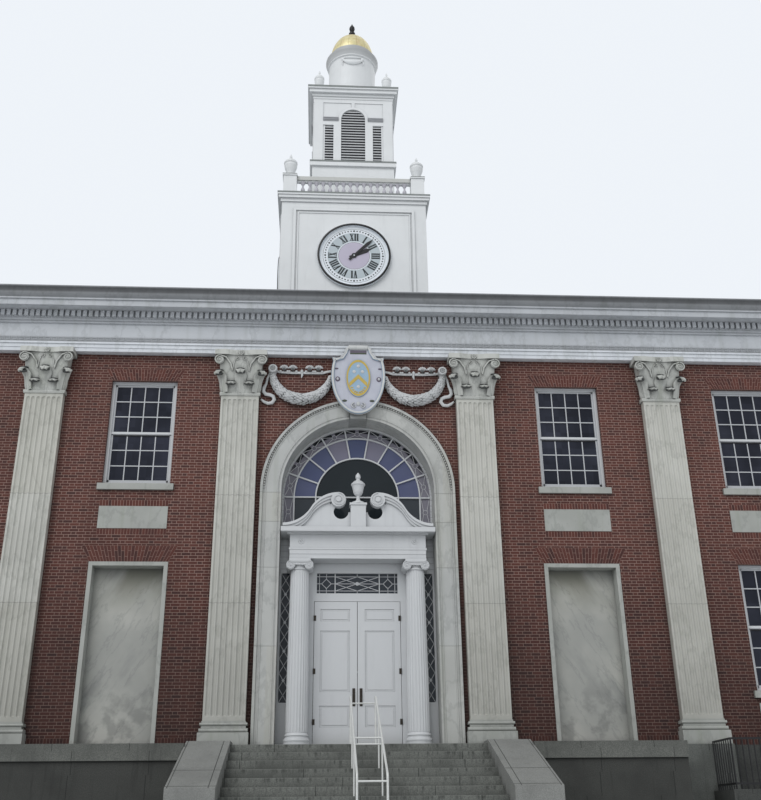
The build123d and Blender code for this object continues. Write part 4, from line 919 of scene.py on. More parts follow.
def soldiers(x0, x1, foot, high=BRICK):
    """A row of upright bricks along a wall."""
    x0, x1 = sorted((x0, x1))
    shape = Shape()
    y0, y1, slot = MORTAR_FACE
    shape.box(x0, x1, y0, y1, foot, foot + high + JOINT, slot)
    count = max(1, round((x1 - x0) / COURSE))
    width = (x1 - x0) / count
    joint = JOINT / 2
    for k in range(count):
        x = x0 + k * width
        shape.box(x + joint, x + width - joint, *BRICK_FACE, foot + joint, foot + high + joint)
    return shape


brickwork = Shape()
half = WINDOW / 2
for spot in UPPER_SPOTS:
    brickwork.join(flat_arch(half, UPPER[1], 4.5, 0.16), spot)
    brickwork.join(soldiers(-half, half, PANEL[1] + 0.004, ROWLOCK), spot)
    brickwork.join(soldiers(-half, half, PANEL[0] - ROWLOCK - JOINT - 0.004, ROWLOCK), spot)
for spot in LOWER_SPOTS:
    brickwork.join(flat_arch(half, LOWER[1], 5.5, 0.18), spot)
    brickwork.join(soldiers(-half, half, APRON_TOP + 0.004, ROWLOCK), spot)
for side in BOTH:
    brickwork.join(flat_arch(NICHE_HALF, LOWER[1], 5.5, 0.19), at(side * INNER_BAY, 0, 0))
    for x0, x1 in ((2.26, INNER_BAY - NICHE_HALF), (INNER_BAY + NICHE_HALF, HALF)):
        brickwork.join(soldiers(side * x0, side * x1, FLOOR), FRONT)
brickwork.join(soldiers(-HALF, HALF, FLOOR), BACK)
brickwork.join(soldiers(-DEPTH / 2, DEPTH / 2, FLOOR), LEFT, RIGHT)
brickwork.piece("brick_arches_and_soldiers", [gauged, mortar], slot="brick")


# Entablature: dentils, and the fret band between two fillets
def around(unit, spacing, out):
    """Copies of a unit along the four sides, at a distance out from the walls."""
    shape = Shape()
    half_x, half_y = HALF + out, DEPTH / 2 + out
    for turn, half_run, reach in ((0, half_x, half_y), (2, half_x, half_y), (1, half_y, half_x),
                                  (3, half_y, half_x)):
        count = round(2 * half_run / spacing)
        place = at(0, DEPTH / 2, 0) @ spin(90 * turn)
        for k in range(count):
            x = -half_run + 2 * half_run * (k + 0.5) / count
            shape.join(unit, place @ at(x, -reach, 0))
    return shape


DENTIL_FOOT, DENTIL_HEAD = 11.945, 12.100
DENTIL_PITCH = 0.141
tooth = Shape()
tooth.box(-0.045, 0.045, -0.075, 0.004, DENTIL_FOOT, DENTIL_HEAD)
around(tooth, DENTIL_PITCH, 0.29).piece("dentils", trim_stone, slot="marble")

FRET_FOOT = 11.33
FRET_PITCH = 0.16
FRET_PATH = ((-0.08, 0.0), (-0.08, 0.095), (0.045, 0.095), (0.045, 0.03), (-0.02, 0.03), (-0.02, 0.062))
key = Shape()
key.sweep([(-0.010, 0.0), (-0.010, 0.012), (0.010, 0.012), (0.010, 0.0)],
          [(x, FRET_FOOT + z) for x, z in FRET_PATH])
for z in (FRET_FOOT - 0.015, FRET_FOOT + 0.102):
    key.box(-FRET_PITCH / 2, FRET_PITCH / 2, -0.010, 0.0, z, z + 0.012)
around(key, FRET_PITCH, 0.2).piece("fret_band", trim_stone, slot="marble")


# Clock dials: numerals, minute marks and rings
NUMERALS = ("I", "II", "III", "IIII", "V", "VI", "VII", "VIII", "IX", "X", "XI", "XII")
LETTER_WIDTHS = {"I": 0.070, "V": 0.125, "X": 0.135}
INK = (-0.0018, -0.0002)


def numeral(text, height):
    """Strokes of a Roman number about its own middle, as outlines on X and Z."""
    x = -sum(LETTER_WIDTHS[letter] for letter in text) / 2
    top = height / 2
    strokes = []

    def stroke(foot, head, thick):
        strokes.append([(foot - thick, -top), (foot + thick, -top), (head + thick, top), (head - thick, top)])

    for letter in text:
        width = LETTER_WIDTHS[letter]
        middle = x + width / 2
        if letter == "I":
            stroke(middle, middle, 0.025)
        else:
            left, right = x + 0.030, x + width - 0.024
            stroke(right if letter == "X" else middle, left, 0.022)
            stroke(left if letter == "X" else middle, right, 0.011)
        left, right = x + 0.004, x + width - 0.004
        for z in ((-top, top) if letter != "V" else (top,)):
            end = z - math.copysign(0.016, z)
            strokes.append([(left, z), (right, z), (right, end), (left, end)])
        x += width
    return strokes


def flat_ring(shape, outer, inner, out, slot=0):
    shape.rings([at_depth(-out, circle(0, 0, radius, 96)) for radius in (outer, inner)], slot)


CENTRE_RADIUS = 0.455
NUMERAL_RADIUS = 0.630
NUMERAL_HEIGHT = 0.245
MINUTE_RADIUS = 0.842
RIM_RADIUS = 1.036
face = Shape()
flat_ring(face, 0.775, 0.485, 0.0006)
flat_ring(face, CENTRE_RADIUS, 0.02, 0.0006, 1)
ink = Shape()
for radius in (CENTRE_RADIUS, 0.905):
    flat_ring(ink, radius + 0.004, radius - 0.004, 0.0010)
for minute in range(60):
    a = math.radians(6 * minute)
    dot = 0.030 if minute % 5 == 0 else 0.022
    ink.prism(circle(MINUTE_RADIUS * math.sin(a), MINUTE_RADIUS * math.cos(a), dot, 8), *INK)
for hour, text in enumerate(NUMERALS, 1):
    mark = Shape()
    for outline in numeral(text, NUMERAL_HEIGHT):
        mark.prism([(x, z + NUMERAL_RADIUS) for x, z in outline], *INK)
    ink.join(mark, spin(30 * hour, "Y"))
dial_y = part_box("clock_dials")[0].y + 0.06
dial_places = [side @ at(0, dial_y - TOWER_Y, DIAL_Z) for side in TOWER_SIDES]
copies(face, dial_places).piece("dial_fields", [dial_blue, dial_lilac], slot="dial")
copies(ink, dial_places).piece("dial_numerals", dial_ink, slot="black_metal")

rim = Shape()
rim.sweep([(-0.034, 0.0), (-0.034, 0.012), (-0.016, 0.022), (0.012, 0.022), (0.027, 0.012), (0.027, 0.0)],
          circle(0, 0, RIM_RADIUS, 96), closed=True)
rims = copies(rim, [side @ at(0, -2.249, DIAL_Z) for side in TOWER_SIDES])
rims.piece("dial_rims", black, smooth=30, slot="black_metal")

# Louvre slats of the belfry
SLATS = 20
SLAT_PITCH = 0.1032
LOUVRE_FOOT = 19.715
LOUVRE_SPRING = 21.396
LOUVRE_HALF = 0.385
SIDE_LOUVRE_TOP = 21.06
louvres = Shape()


def slat(x0, x1, z):
    x0, x1 = sorted((x0, x1))
    section = ((0.006, 0.0), (0.006, 0.040), (0.068, 0.090), (0.068, 0.050))
    points = [(x, y - BELFRY, z + h) for x in (x0, x1) for y, h in section]
    louvres.add(points, [(0, 1, 2, 3), (7, 6, 5, 4), (0, 4, 5, 1), (1, 5, 6, 2), (2, 6, 7, 3), (3, 7, 4, 0)])


for k in range(SLATS):
    z = LOUVRE_FOOT + k * SLAT_PITCH
    reach = math.sqrt(max(0.0, LOUVRE_HALF ** 2 - max(0.0, z - LOUVRE_SPRING) ** 2))
    if reach > 0.06:
        slat(-reach, reach, z)
    if z < SIDE_LOUVRE_TOP:
        for s in BOTH:
            slat(s * 0.630, s * 0.905, z)
copies(louvres, TOWER_SIDES).piece("louvre_slats", slat_paint, slot="louvre_paint")

# Balustrade of turned balusters
rail_low, rail_high = (corner.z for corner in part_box("tower_balustrade"))
POST = 0.40
BALUSTERS = 16
BALUSTER_PITCH = 0.206
VASE = ((0.052, 0.0), (0.052, 0.06), (0.030, 0.10), (0.028, 0.18), (0.048, 0.26), (0.062, 0.34),
        (0.064, 0.40), (0.054, 0.48), (0.034, 0.57), (0.026, 0.66), (0.026, 0.74), (0.042, 0.79),
        (0.050, 0.82), (0.056, 0.88), (0.078, 0.95), (0.088, 1.0))
rail = Shape()
for x0, x1, z0, z1 in ((-RAIL_OUT + 0.025, -RAIL_OUT + 0.025 + POST, rail_low, rail_high - 0.04),
                       (-RAIL_OUT, -RAIL_OUT + 0.05 + POST, rail_high - 0.06, rail_high)):
    rail.box(x0, x1, x0, x1, z0, z1)
rail_end = RAIL_OUT - POST - 0.025
for y0, y1, z0, z1, slot in ((0.15, 0.30, rail_low, rail_low + 0.10, 0),
                             (0.165, 0.285, rail_low + 0.10, rail_low + 0.12, 0),
                             (0.165, 0.285, rail_high - 0.19, rail_high - 0.15, 0),
                             (0.12, 0.33, rail_high - 0.15, rail_high - 0.02, 2)):
    rail.box(-rail_end, rail_end, y0 - RAIL_OUT, y1 - RAIL_OUT, z0, z1, slot)
baluster = Shape()
foot, height = rail_low + 0.12, rail_high - rail_low - 0.31
# The balusters take the darker paint: painted shade.
baluster.turned([(r, foot + height * t) for r, t in VASE], segments=12, slot=1)
for k in range(BALUSTERS):
    rail.join(baluster, at((k - (BALUSTERS - 1) / 2) * BALUSTER_PITCH, 0.225 - RAIL_OUT, 0))
balustrade = copies(rail, TOWER_SIDES)
balustrade.piece("turned_balustrade", [tower_paint, baluster_shaded_paint, rail_paint], smooth=40,
                 slot="white_paint", replaces=["tower_balustrade"])

# Lead flashings on the tower's ledges, and imposts beside the belfry's arches
flashings = Shape()
for edge, top, drop in ((2.286, CLOCK_TOP + 0.30, 0.045), (1.366, CLOCK_TOP + 2.15, 0.055),
                        (1.471, 22.596, 0.065)):
    low, high, back = top - drop, top + 0.006, edge - 0.06
    section = ((edge, low), (edge, high), (back, high), (back, low), (edge, low))
    flashings.rings([[(x * reach, TOWER_Y + y * reach, z) for x, y in ((-1, -1), (1, -1), (1, 1), (-1, 1))]
                     for reach, z in section])
impost = Shape()
for side in BOTH:
    for low, high, reach in ((21.296, 21.335, 0.040), (21.335, 21.395, 0.055), (21.395, 21.425, 0.070)):
        impost.box(side * 0.475, side * 0.962, -BELFRY - reach, -BELFRY + 0.01, low, high, 1)
    impost.box(side * rail_end, side * RAIL_OUT, -2.158, -2.10, rail_high - 0.018, rail_high + 0.005)
flashings.join(impost, *TOWER_SIDES)
flashings.piece("tower_flashings", [flashing, impost_lead], slot="white_paint")

# Carving on the tower: a bead in each clock panel and a garland on the drum
BEAD = [(-0.024, 0.0), (-0.022, 0.016), (-0.010, 0.026), (0.010, 0.026), (0.022, 0.016), (0.024, 0.0)]
PANEL_HALF = 1.655
panel_low, panel_high = DIAL_Z - 1.23, DIAL_Z + 1.48
bead = Shape()
bead.sweep(BEAD, [(-PANEL_HALF, panel_low), (PANEL_HALF, panel_low), (PANEL_HALF, panel_high),
                  (-PANEL_HALF, panel_high)], closed=True)
carving = copies(bead, [side @ at(0, -CLOCK_HALF + 0.001, 0) for side in TOWER_SIDES])
DRUM_RADIUS = 0.802
GARLAND_Z = 24.34
GARLAND_TURN = 0.42


def on_drum(share):
    """The place on the drum at a share of the garland's half length from its middle."""
    return DRUM_RADIUS * math.sin(GARLAND_TURN * share), -DRUM_RADIUS * math.cos(GARLAND_TURN * share)


garland = Shape()
shares = [-1 + k / 12 for k in range(25)]
for sag, thick, level in ((0.17, 0.088, GARLAND_Z), (0.03, 0.030, GARLAND_Z + 0.08)):
    path = [(*on_drum(t), level - sag * (1 - t * t)) for t in shares]
    garland.tube(path, [thick * (1 - 0.6 * t ** 2) for t in shares], 10, flat=0.8)
for side in BOTH:
    x, y = on_drum(side)
    garland.blob((x, y - 0.01, GARLAND_Z + 0.02), (0.060, 0.035, 0.055), 10)
    garland.tube([(x, y, GARLAND_Z), (x + side * 0.03, y + 0.01, GARLAND_Z - 0.14), (x, y, GARLAND_Z - 0.24)],
                 [0.020, 0.026, 0.010], 6)
carving.join(garland, TOWER_SIDES[0], TOWER_SIDES[2])
carving.piece("tower_carving", tower_paint, smooth=45, slot="white_paint")


# Corinthian capitals: leaves, volutes and a flower on each bell
BELL_FOOT = 10.02
VOLUTE_Z = 10.800
FLOWER_Z = 10.995
capital = Shape()
lean = spin(11, "X")


def acanthus(place, width, height, curl):
    """A leaf with a dark blob of painted shade under its rolled tip and another behind it."""
    capital.leaf(place, width, height, curl)
    under = place @ Vector((0, -0.60 * curl, 0.90 * height - 0.030))
    capital.blob(under, (0.80 * width, 0.35 * curl, 0.026), 12, 4, 1)
    above = place @ Vector((0, -0.30 * curl, height + 0.022))
    capital.blob(above, (0.70 * width, 0.22 * curl, 0.018), 12, 4, 1)


acanthus(at(0, -0.20, BELL_FOOT) @ lean, 0.15, 0.57, 0.16)
for side in BOTH:
    acanthus(at(side * 0.215, -0.20, BELL_FOOT) @ lean, 0.15, 0.25, 0.18)
    acanthus(at(side * 0.385, -0.19, BELL_FOOT) @ spin(side * 42) @ lean, 0.14, 0.54, 0.20)
    capital.blob((side * 0.512, -0.395, VOLUTE_Z), (0.112, 0.030, 0.112), 16, 4)
    capital.scroll(side * 0.512, VOLUTE_Z, -0.424, 0.116, 1.75, side, 0.018)
    capital.scroll(side * 0.090, VOLUTE_Z + 0.06, -0.365, 0.052, 1.25, -side, 0.011)
    stem = (side * 0.20, -0.31, VOLUTE_Z - 0.25)
    capital.tube([stem, (side * 0.24, -0.34, VOLUTE_Z - 0.08), (side * 0.36, -0.38, VOLUTE_Z + 0.08),
                  (side * 0.50, -0.420, VOLUTE_Z + 0.115)], [0.018, 0.022, 0.022, 0.018], 6)
    capital.tube([stem, (side * 0.17, -0.33, VOLUTE_Z - 0.06), (side * 0.12, -0.36, VOLUTE_Z + 0.08)],
                 [0.014, 0.014, 0.010], 6)
capital.flower(0, -0.405, FLOWER_Z, 0.046, (0.026, 0.02, 0.026))
capital.blob((0, -0.415, FLOWER_Z), (0.026, 0.02, 0.026), 6, 3)
for z in (BELL_FOOT - 0.058, BELL_FOOT - 0.008):
    capital.box(-0.475, 0.475, -0.205, -0.10, z - 0.016, z + 0.010)
capitals = copies(capital, [at(side * x, 0, 0) for x in PILASTERS for side in BOTH])
capitals.piece("capital_carving", [capital_marble, shade_dark], smooth=40, slot="marble")

# Arch: a row of beads on a dark strip of painted shade inside its outer edge, and a roll on each side
BEADS = 104
BEAD_RADIUS = 2.195
arch = Shape()
for x, z in arc(0, SPRING, BEAD_RADIUS, 90 / BEADS, 180 - 90 / BEADS, BEADS - 1):
    arch.blob((x, -0.088, z), (0.024, 0.018, 0.024), 6, 3)
half_round = [(0.016 * x, 0.078 + 0.016 * y) for x, y in arc(0, 0, 1, 0, 180, 4)]
foot = FLOOR + 0.02
for radius in (1.875, 2.150):
    arch.sweep(half_round, [(-radius, foot), *arc(0, SPRING, radius, 180, 0, 64), (radius, foot)])
# A dark strip behind the beads: painted shade between them.
arch.sweep([(-0.026, 0.078), (-0.026, 0.0825), (0.026, 0.0825), (0.026, 0.078)],
           arc(0, SPRING, BEAD_RADIUS, 178, 2, 64), 1)
arch.piece("arch_beads", [arch_marble, bead_shade], smooth=40, slot="marble")

# Shield: a made-up device of a gold ring and chevron with white discs, bosses and end scrolls
OVAL_Z = WALL_TOP - 0.665
CREST_Z = WALL_TOP + 0.215


def shield_edge(inset):
    """The shield's outline: a level crest, a dip to each shoulder, and an egg-shaped body."""
    shoulders = ((0.225, 1, 0.0), (0.30, 0, 0.10), (0.335, 0, 0.22), (0.42, 0.6, 0.33), (0.55, 1, 0.35),
                 (0.635, 1, 0.33))
    right = [(x - inset, CREST_Z - drop - share * inset) for x, share, drop in shoulders]
    for degrees in range(-22, 91, 8):
        t = math.radians(degrees)
        right.append(((0.655 - inset) * math.cos(t), CREST_Z - 0.80 - (1.025 - inset) * math.sin(t)))
    return right + [(-x, z) for x, z in reversed(right)]


def oval(share):
    return [(0.30 * share * x, OVAL_Z + 0.50 * share * z) for x, z in circle(0, 0, 1, 48)]


GOLD, CARVED, LILAC, GREEN = range(4)
shield = Shape()
shield.rings([at_depth(-0.3270, oval(share)) for share in (0.97, 0.84)], GOLD)
chevron = [(-0.215, -0.13), (0, 0.09), (0.215, -0.13), (0.215, -0.24), (0, -0.02), (-0.215, -0.24)]
shield.prism([(x, OVAL_Z + z) for x, z in chevron], -0.331, -0.324, GOLD)
for side in BOTH:
    for k in range(4):
        t = math.radians(28 + 17 * k)
        centre = (side * 0.175 * math.cos(t), -0.326, OVAL_Z - 0.15 - 0.24 * math.sin(t))
        shield.blob(centre, (0.030, 0.010, 0.020), 8, 4, GOLD)
for x, z in ((-0.10, 0.16), (0.10, 0.16), (0, 0.31), (0, -0.24)):
    shield.blob((x, -0.326, OVAL_Z + z), (0.045, 0.012, 0.045), 12, 4, CARVED)
BOSSES = ((0.50, -0.302, -0.03, (0.062, 0.020, 0.068), 12, LILAC),
          (0.50, -0.318, -0.03, (0.030, 0.018, 0.034), 12, CARVED),
          (0.53, -0.302, 0.25, (0.050, 0.014, 0.022), 10, LILAC),
          (0.33, -0.302, -0.60, (0.062, 0.016, 0.030), 10, GREEN))
for side in BOTH:
    for x, y, z, radii, sides, slot in BOSSES:
        shield.blob((side * x, y, OVAL_Z + z), radii, sides, 4, slot)
    shield.scroll(side * 0.10, OVAL_Z - 0.73, -0.312, 0.075, 1.25, side, 0.016, CARVED)
    strap = ((0.60, -0.335, 0.44), (0.46, -0.338, 0.50), (0.33, -0.338, 0.66), (0.29, -0.338, 0.80))
    shield.tube([(side * x, y, OVAL_Z + z) for x, y, z in strap], 0.016, 6, CARVED)
shield.blob((0, -0.305, OVAL_Z - 0.68), (0.05, 0.02, 0.06), 10, 4, CARVED)
# A dark green and lilac band under the crest's roll: painted shadow.
shield.box(-0.20, 0.20, -0.304, -0.296, WALL_TOP - 0.02, WALL_TOP + 0.075, GREEN)
shield.box(-0.20, 0.20, -0.3045, -0.296, WALL_TOP + 0.02, WALL_TOP + 0.082, LILAC)
shield.piece("shield_device", [shield_gold, carved, dark_lilac, dark_green], smooth=40, slot="arms")

plate = Shape()
plate.prism(shield_edge(0.02), -0.300, -0.221)
RIM = ((0.02, -0.230), (0.0, -0.240), (0.0, -0.325), (0.018, -0.342), (0.050, -0.342), (0.068, -0.325),
       (0.072, -0.299))
plate.rings([at_depth(y, shield_edge(inset)) for inset, y in RIM])
plate.prism(oval(1.0), -0.325, -0.299)
plate.tube([(-0.225, -0.290, CREST_Z - 0.062), (0.225, -0.290, CREST_Z - 0.062)], 0.062, 16)
plate.box(-0.33, 0.33, -0.222, 0, WALL_TOP - 1.135, WALL_TOP - 0.02)
plate.piece("shield_plate", arms, smooth=40, slot="arms", replaces=["cartouche"])


# Festoons: leaves along the rope, a ribbon with shells over it, a ring and a tail at its end
SWAG_TOP = WALL_TOP - 0.385
ROPE_Y = -0.0896
RING_X = 2.08
ROWS = 34


def circle_through(first, second, third):
    """Centre and radius of the circle through three (x, z) points."""
    points = (first, second, third)
    twice = 0
    cx, cz = 0, 0
    for i, (x, z) in enumerate(points):
        after, before = points[(i + 1) % 3], points[(i + 2) % 3]
        square = x ** 2 + z ** 2
        twice += 2 * x * (after[1] - before[1])
        cx += square * (after[1] - before[1])
        cz += square * (before[0] - after[0])
    cx, cz = cx / twice, cz / twice
    return cx, cz, math.hypot(first[0] - cx, first[1] - cz)


rope_start, rope_end = (0.67, SWAG_TOP - 0.15), (RING_X, SWAG_TOP)
rope_x, rope_z, rope_radius = circle_through(rope_start, (1.385, SWAG_TOP - 0.77), rope_end)
first_angle, last_angle = (math.atan2(z - rope_z, x - rope_x) for x, z in (rope_start, rope_end))


def rope_frame(t):
    """The point on the rope at share t of its length, and the ways outward and along."""
    angle = first_angle + (last_angle - first_angle) * t
    outward = Vector((math.cos(angle), 0, math.sin(angle)))
    along = Vector((-math.sin(angle), 0, math.cos(angle)))
    return Vector((rope_x, ROPE_Y, rope_z)) + outward * rope_radius, outward, along


swag = Shape()
petal = Shape()
petal.blob((0, 0, 0), (0.062, 0.020, 0.036), 6, 4)
steps = [k / 32 for k in range(33)]
swag.tube([rope_frame(t)[0] for t in steps], [0.046 + 0.072 * math.sin(math.pi * t) for t in steps], 16, 1)
swag.prism(circle(RING_X, SWAG_TOP, 0.108, 24), -0.19, 0.0)
for k in range(ROWS):
    t = (k + 0.5) / ROWS
    centre, outward, along = rope_frame(t)
    size = 0.052 + 0.082 * math.sin(math.pi * t)
    for j in range(6):
        around_rope = math.radians(-82 + 32 * (j + 0.5 * (k % 2)))
        lift = outward * math.sin(around_rope) + Vector((0, -math.cos(around_rope), 0))
        tilt = (along + lift * random.uniform(0.1, 0.5)).normalized()
        across = tilt.cross(lift).normalized()
        lift = across.cross(tilt)
        axes = Matrix((tilt, lift, across)).transposed().to_4x4()
        grow = random.uniform(0.8, 1.25) * (0.62 + 0.38 * math.sin(math.pi * t))
        swag.join(petal, Matrix.Translation(centre + lift * size) @ axes @ Matrix.Scale(grow, 4))

RIBBON = ((2.06, 0.01, 0.026), (1.92, -0.03, 0.030), (1.60, -0.045, 0.034), (1.20, -0.045, 0.034),
          (0.86, -0.04, 0.034), (0.76, -0.01, 0.030), (0.66, 0.01, 0.030))
swag.tube([(x, -0.05, SWAG_TOP + z) for x, z, _ in RIBBON], [radius for _, _, radius in RIBBON], flat=0.5)
shell_z = SWAG_TOP + 0.06
for x in (1.81, 1.595, 1.185, 0.965):
    for degrees in range(-75, 76, 25):
        sine, cosine = math.sin(math.radians(degrees)), math.cos(math.radians(degrees))
        tip = (x + 0.102 * sine, -0.085, shell_z + 0.085 * cosine - 0.01)
        middle = ((x + tip[0]) / 2, -0.12, (shell_z + tip[2]) / 2)
        swag.tube([(x + 0.03 * sine, -0.06, shell_z - 0.02), middle, tip], [0.016, 0.026, 0.020], 6)
    # A dark blob of painted shade in the shell's middle.
    swag.blob((x, -0.10, shell_z - 0.050), (0.040, 0.030, 0.030), 8, 4, 1)
    for side in BOTH:
        swag.blob((x + side * 0.085, -0.06, shell_z - 0.075), (0.036, 0.030, 0.036), 8, 4)
swag.blob((1.375, -0.06, SWAG_TOP - 0.02), (0.040, 0.035, 0.060), 8, 4)
tassel = ((1.375, -0.06, -0.05), (1.365, -0.06, -0.11), (1.385, -0.05, -0.18))
swag.tube([(x, y, SWAG_TOP + z) for x, y, z in tassel], [0.020, 0.030, 0.014], 6)
ring = circle(RING_X, SWAG_TOP, 0.084, 20)
swag.tube(at_depth(-0.195, ring + ring[:1]), 0.028)
swag.flower(RING_X, -0.195, SWAG_TOP, 0.036, (0.020, 0.02, 0.020), 6)
TAIL = ((2.15, 10.61), (2.205, 10.47), (2.232, 10.33), (2.285, 10.22), (2.295, 10.12), (2.232, 10.05),
        (2.13, 10.035), (2.05, 9.995), (2.025, 9.91), (2.08, 9.825), (2.18, 9.81), (2.27, 9.85),
        (2.345, 9.915))
swag.tube(at_depth(-0.065, TAIL), [0.030] * 3 + [0.046] * 7 + [0.040, 0.034, 0.024], flat=0.65)
swags = copies(swag, (FRONT, Matrix.Scale(-1, 4, (1, 0, 0))))
swags.piece("festoon_leaves", [carved, shade_dark], smooth=50, slot="marble", replaces=["festoons"])


# Entrance glazing: lead lines in the fanlight's outer ring, the transom and the side lights
LEAD = (0.532, 0.5448)
LEAD_RING = 0.055
FAN_BAYS = 9
bay = 180 / FAN_BAYS
lines = Shape()


def lead_ring(x, z, width=0.010):
    lines.rings([at_depth(LEAD[0], circle(x, z, LEAD_RING + half, 16)) for half in (width / 2, -width / 2)])


def in_fan(radius, degrees):
    a = math.radians(degrees)
    return Vector((radius * math.cos(a), SPRING + radius * math.sin(a)))


for k in range(FAN_BAYS):
    middle = in_fan(1.630, bay * (k + 0.5))
    lead_ring(*middle)
    for degrees in (bay * k + 1.0, bay * (k + 1) - 1.0):
        for radius in (1.53, 1.735):
            corner = in_fan(radius, degrees)
            edge = middle + (corner - middle).normalized() * LEAD_RING
            lines.strip(edge, corner, 0.010, *LEAD)
for side in BOTH:
    x, z = side * 1.632, SPRING - 0.36
    lead_ring(x, z)
    for dx in (-0.10, 0.10):
        for dz, end_z in ((0.04, SPRING - 0.03), (-0.04, SPRING - 0.70)):
            lines.strip((x + 0.4 * dx, z + dz), (x + dx, end_z), 0.010, *LEAD)

TRANSOM = (FLOOR + 3.385, FLOOR + 3.850)
TRANSOM_HALF = 0.228
BAND, TIP, END = 0.165, 0.11, 0.93
TRANSOM_BAR, STAR = 0.51, 0.71
transom_z = sum(TRANSOM) / 2
for side in BOTH:
    pattern = [((0, 0), (TRANSOM_BAR, 0)), ((STAR + TIP, 0), (END, 0)), ((TRANSOM_BAR, 0), (STAR - TIP, 0)),
               ((0.87, -TRANSOM_HALF), (0.87, TRANSOM_HALF))]
    for up in BOTH:
        band, tip, top = up * BAND, up * TIP, up * TRANSOM_HALF
        pattern += [((0, 0), (TRANSOM_BAR, band)), ((TRANSOM_BAR, 0), (0, band)), ((0, band), (END, band)),
                    ((STAR, tip), (STAR, top)), ((STAR - TIP, 0), (STAR, tip)),
                    ((STAR, tip), (STAR + TIP, 0))]
    for (x0, z0), (x1, z1) in pattern:
        lines.strip((side * x0, transom_z + z0), (side * x1, transom_z + z1), 0.013, *LEAD)
for up in BOTH:
    lines.strip((0, transom_z + up * BAND), (0, transom_z + up * TRANSOM_HALF), 0.013, *LEAD)
lines.prism(circle(0, transom_z, 0.042, 20), 0.525, LEAD[1])

SIDE_CELLS = 9
cell_low, cell = FLOOR + 0.97, 2.88 / SIDE_CELLS
for side in BOTH:
    for k in range(SIDE_CELLS):
        z0, z1 = cell_low + cell * k, cell_low + cell * (k + 1)
        for x0, x1 in ((1.547, 1.743), (1.743, 1.547)):
            lines.strip((side * x0, z0), (side * x1, z1), 0.011, *LEAD)
        if k % 2:
            lines.prism(circle(side * 1.645, (z0 + z1) / 2, 0.032, 12), 0.528, LEAD[1])
lines.piece("lead_lines", leading, slot="white_paint")

# Entrance joinery: flutes, volute spirals, scroll spirals, frieze rosettes and transom bars
COLUMN_X = 1.32
ROSETTE = (1.30, FLOOR + 4.475)
joinery = Shape()
for side in BOTH:
    column = side * COLUMN_X
    profile = [(0.2385, FLOOR + 0.315), (0.2385, FLOOR + 1.42), (0.2065, FLOOR + 3.80)]
    joinery.turned(profile, column, 0.185, segments=96, flutes=24, depth=0.013)
    for end in BOTH:
        joinery.scroll(column + end * 0.208, FLOOR + 3.92, -0.050, 0.098, 1.9, end, 0.012)
    joinery.tube([(column + end * 0.20, -0.050, FLOOR + 3.985) for end in BOTH], 0.011, 6)
    for k in range(5):
        joinery.blob((column + 0.055 * (k - 2), -0.035, FLOOR + 3.93), (0.020, 0.03, 0.030), 8, 4)
    joinery.scroll(side * 0.455, FLOOR + 5.433, -0.184, 0.160, 2.0, -side, 0.016)
    x, z = side * ROSETTE[0], ROSETTE[1]
    joinery.flower(x, -0.012, z, 0.050, (0.024, 0.012, 0.024))
    joinery.blob((x, -0.014, z), (0.022, 0.016, 0.022), 6, 3)
    bar = side * TRANSOM_BAR
    joinery.box(bar - 0.011, bar + 0.011, 0.505, LEAD[1], *TRANSOM)
joinery.piece("entrance_joinery", paint, smooth=45, slot="white_paint")

# Gable board under the swan necks: its top follows each neck's two arcs
GABLE_FOOT = FLOOR + 4.773
NECK_RUN, NECK_RISE = 1.275, 0.737
bend = (NECK_RUN ** 2 + NECK_RISE ** 2) / (4 * NECK_RISE)
turn = math.asin(NECK_RUN / 2 / bend)
steps = [(bend * math.sin(turn * k / 12), bend * (1 - math.cos(turn * k / 12))) for k in range(13)]
neck = [(1.73 - x, GABLE_FOOT - 0.090 + z) for x, z in steps]
neck += [(0.455 + x, GABLE_FOOT + 0.647 - z) for x, z in reversed(steps)]
neck = [(x, z) for x, z in neck if x > 0.60 and z > GABLE_FOOT + 0.01]
gable = Shape()
for side in BOTH:
    gable.rings([[(side * x, -0.073, z + 0.03), (side * x, -0.010, z + 0.03), (side * x, -0.010, GABLE_FOOT),
                  (side * x, -0.073, GABLE_FOOT)] for x, z in neck], cap=True)
gable.piece("gable_board", paint, slot="white_paint")


# Floor, background and light
def stage_floor(radius=2000):
    mesh = bpy.data.meshes.new("floor")
    mesh.from_pydata([(x, y, -0.002) for x, y in circle(0, 0, radius, 96)], [], [tuple(range(96))])
    thing = bpy.data.objects.new("floor", mesh)
    bpy.context.collection.objects.link(thing)
    mesh.materials.append(Look("floor_grey", roughness=0.9).done((0.72, 0.73, 0.74)))


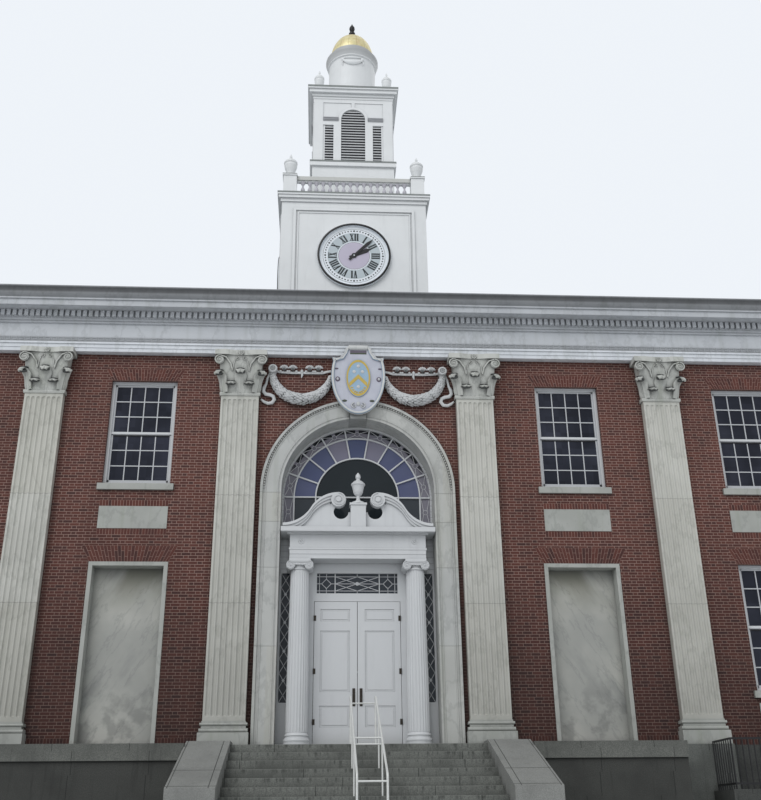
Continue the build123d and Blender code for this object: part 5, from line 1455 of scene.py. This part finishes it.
def background(tree, color, strength):
    made = tree.nodes.new("ShaderNodeBackground")
    made.inputs[0].default_value = color
    made.inputs[1].default_value = strength
    return made.outputs[0]


def studio():
    """Soft light all round, behind a paler background that only the camera sees."""
    world = bpy.data.worlds.new("studio")
    bpy.context.scene.world = world
    world.use_nodes = True
    tree = world.node_tree
    blend = tree.nodes.new("ShaderNodeMixShader")
    rays = tree.nodes.new("ShaderNodeLightPath")
    tree.links.new(rays.outputs["Is Camera Ray"], blend.inputs[0])
    tree.links.new(background(tree, (0.94, 0.97, 1.0, 1), 0.62), blend.inputs[1])
    tree.links.new(background(tree, (0.86, 0.90, 0.95, 1), 1.0), blend.inputs[2])
    tree.links.new(blend.outputs[0], tree.nodes["World Output"].inputs[0])


def sun(name, energy, angle, direction):
    data = bpy.data.lights.new(name, "SUN")
    data.energy = energy
    data.angle = math.radians(angle)
    thing = bpy.data.objects.new(name, data)
    thing.rotation_euler = Vector(direction).to_track_quat("-Z", "Y").to_euler()
    bpy.context.collection.objects.link(thing)


stage_floor()
studio()
sun("key", 1.0, 40, (0.45, 0.75, -0.75))
sun("back", 0.5, 60, (-0.5, -0.8, -0.7))

# The camera that was fitted to the photograph
SENSOR = 36
FOCAL_PIXELS = 995.761
PHOTO_HEIGHT = 800
EYE = (-0.858, -22.272, 0.286)
yaw, pitch, roll = (math.radians(a) for a in (-3.627, 23.45, -0.642))
ahead = Vector((-math.sin(yaw) * math.cos(pitch), math.cos(yaw) * math.cos(pitch), math.sin(pitch)))
across = Vector((math.cos(yaw), math.sin(yaw), 0))
above = across.cross(ahead)
camera_x = across * math.cos(roll) + above * math.sin(roll)
camera_y = above * math.cos(roll) - across * math.sin(roll)
camera = bpy.data.objects.new("camera", bpy.data.cameras.new("camera"))
camera.data.sensor_width = SENSOR
camera.data.lens = FOCAL_PIXELS / PHOTO_HEIGHT * SENSOR
camera.data.clip_end = 4000
axes = Matrix((camera_x, camera_y, -ahead)).transposed()
camera.matrix_world = at(*EYE) @ axes.to_4x4()
bpy.context.collection.objects.link(camera)
bpy.context.scene.camera = camera
bpy.context.scene.view_settings.view_transform = "Standard"
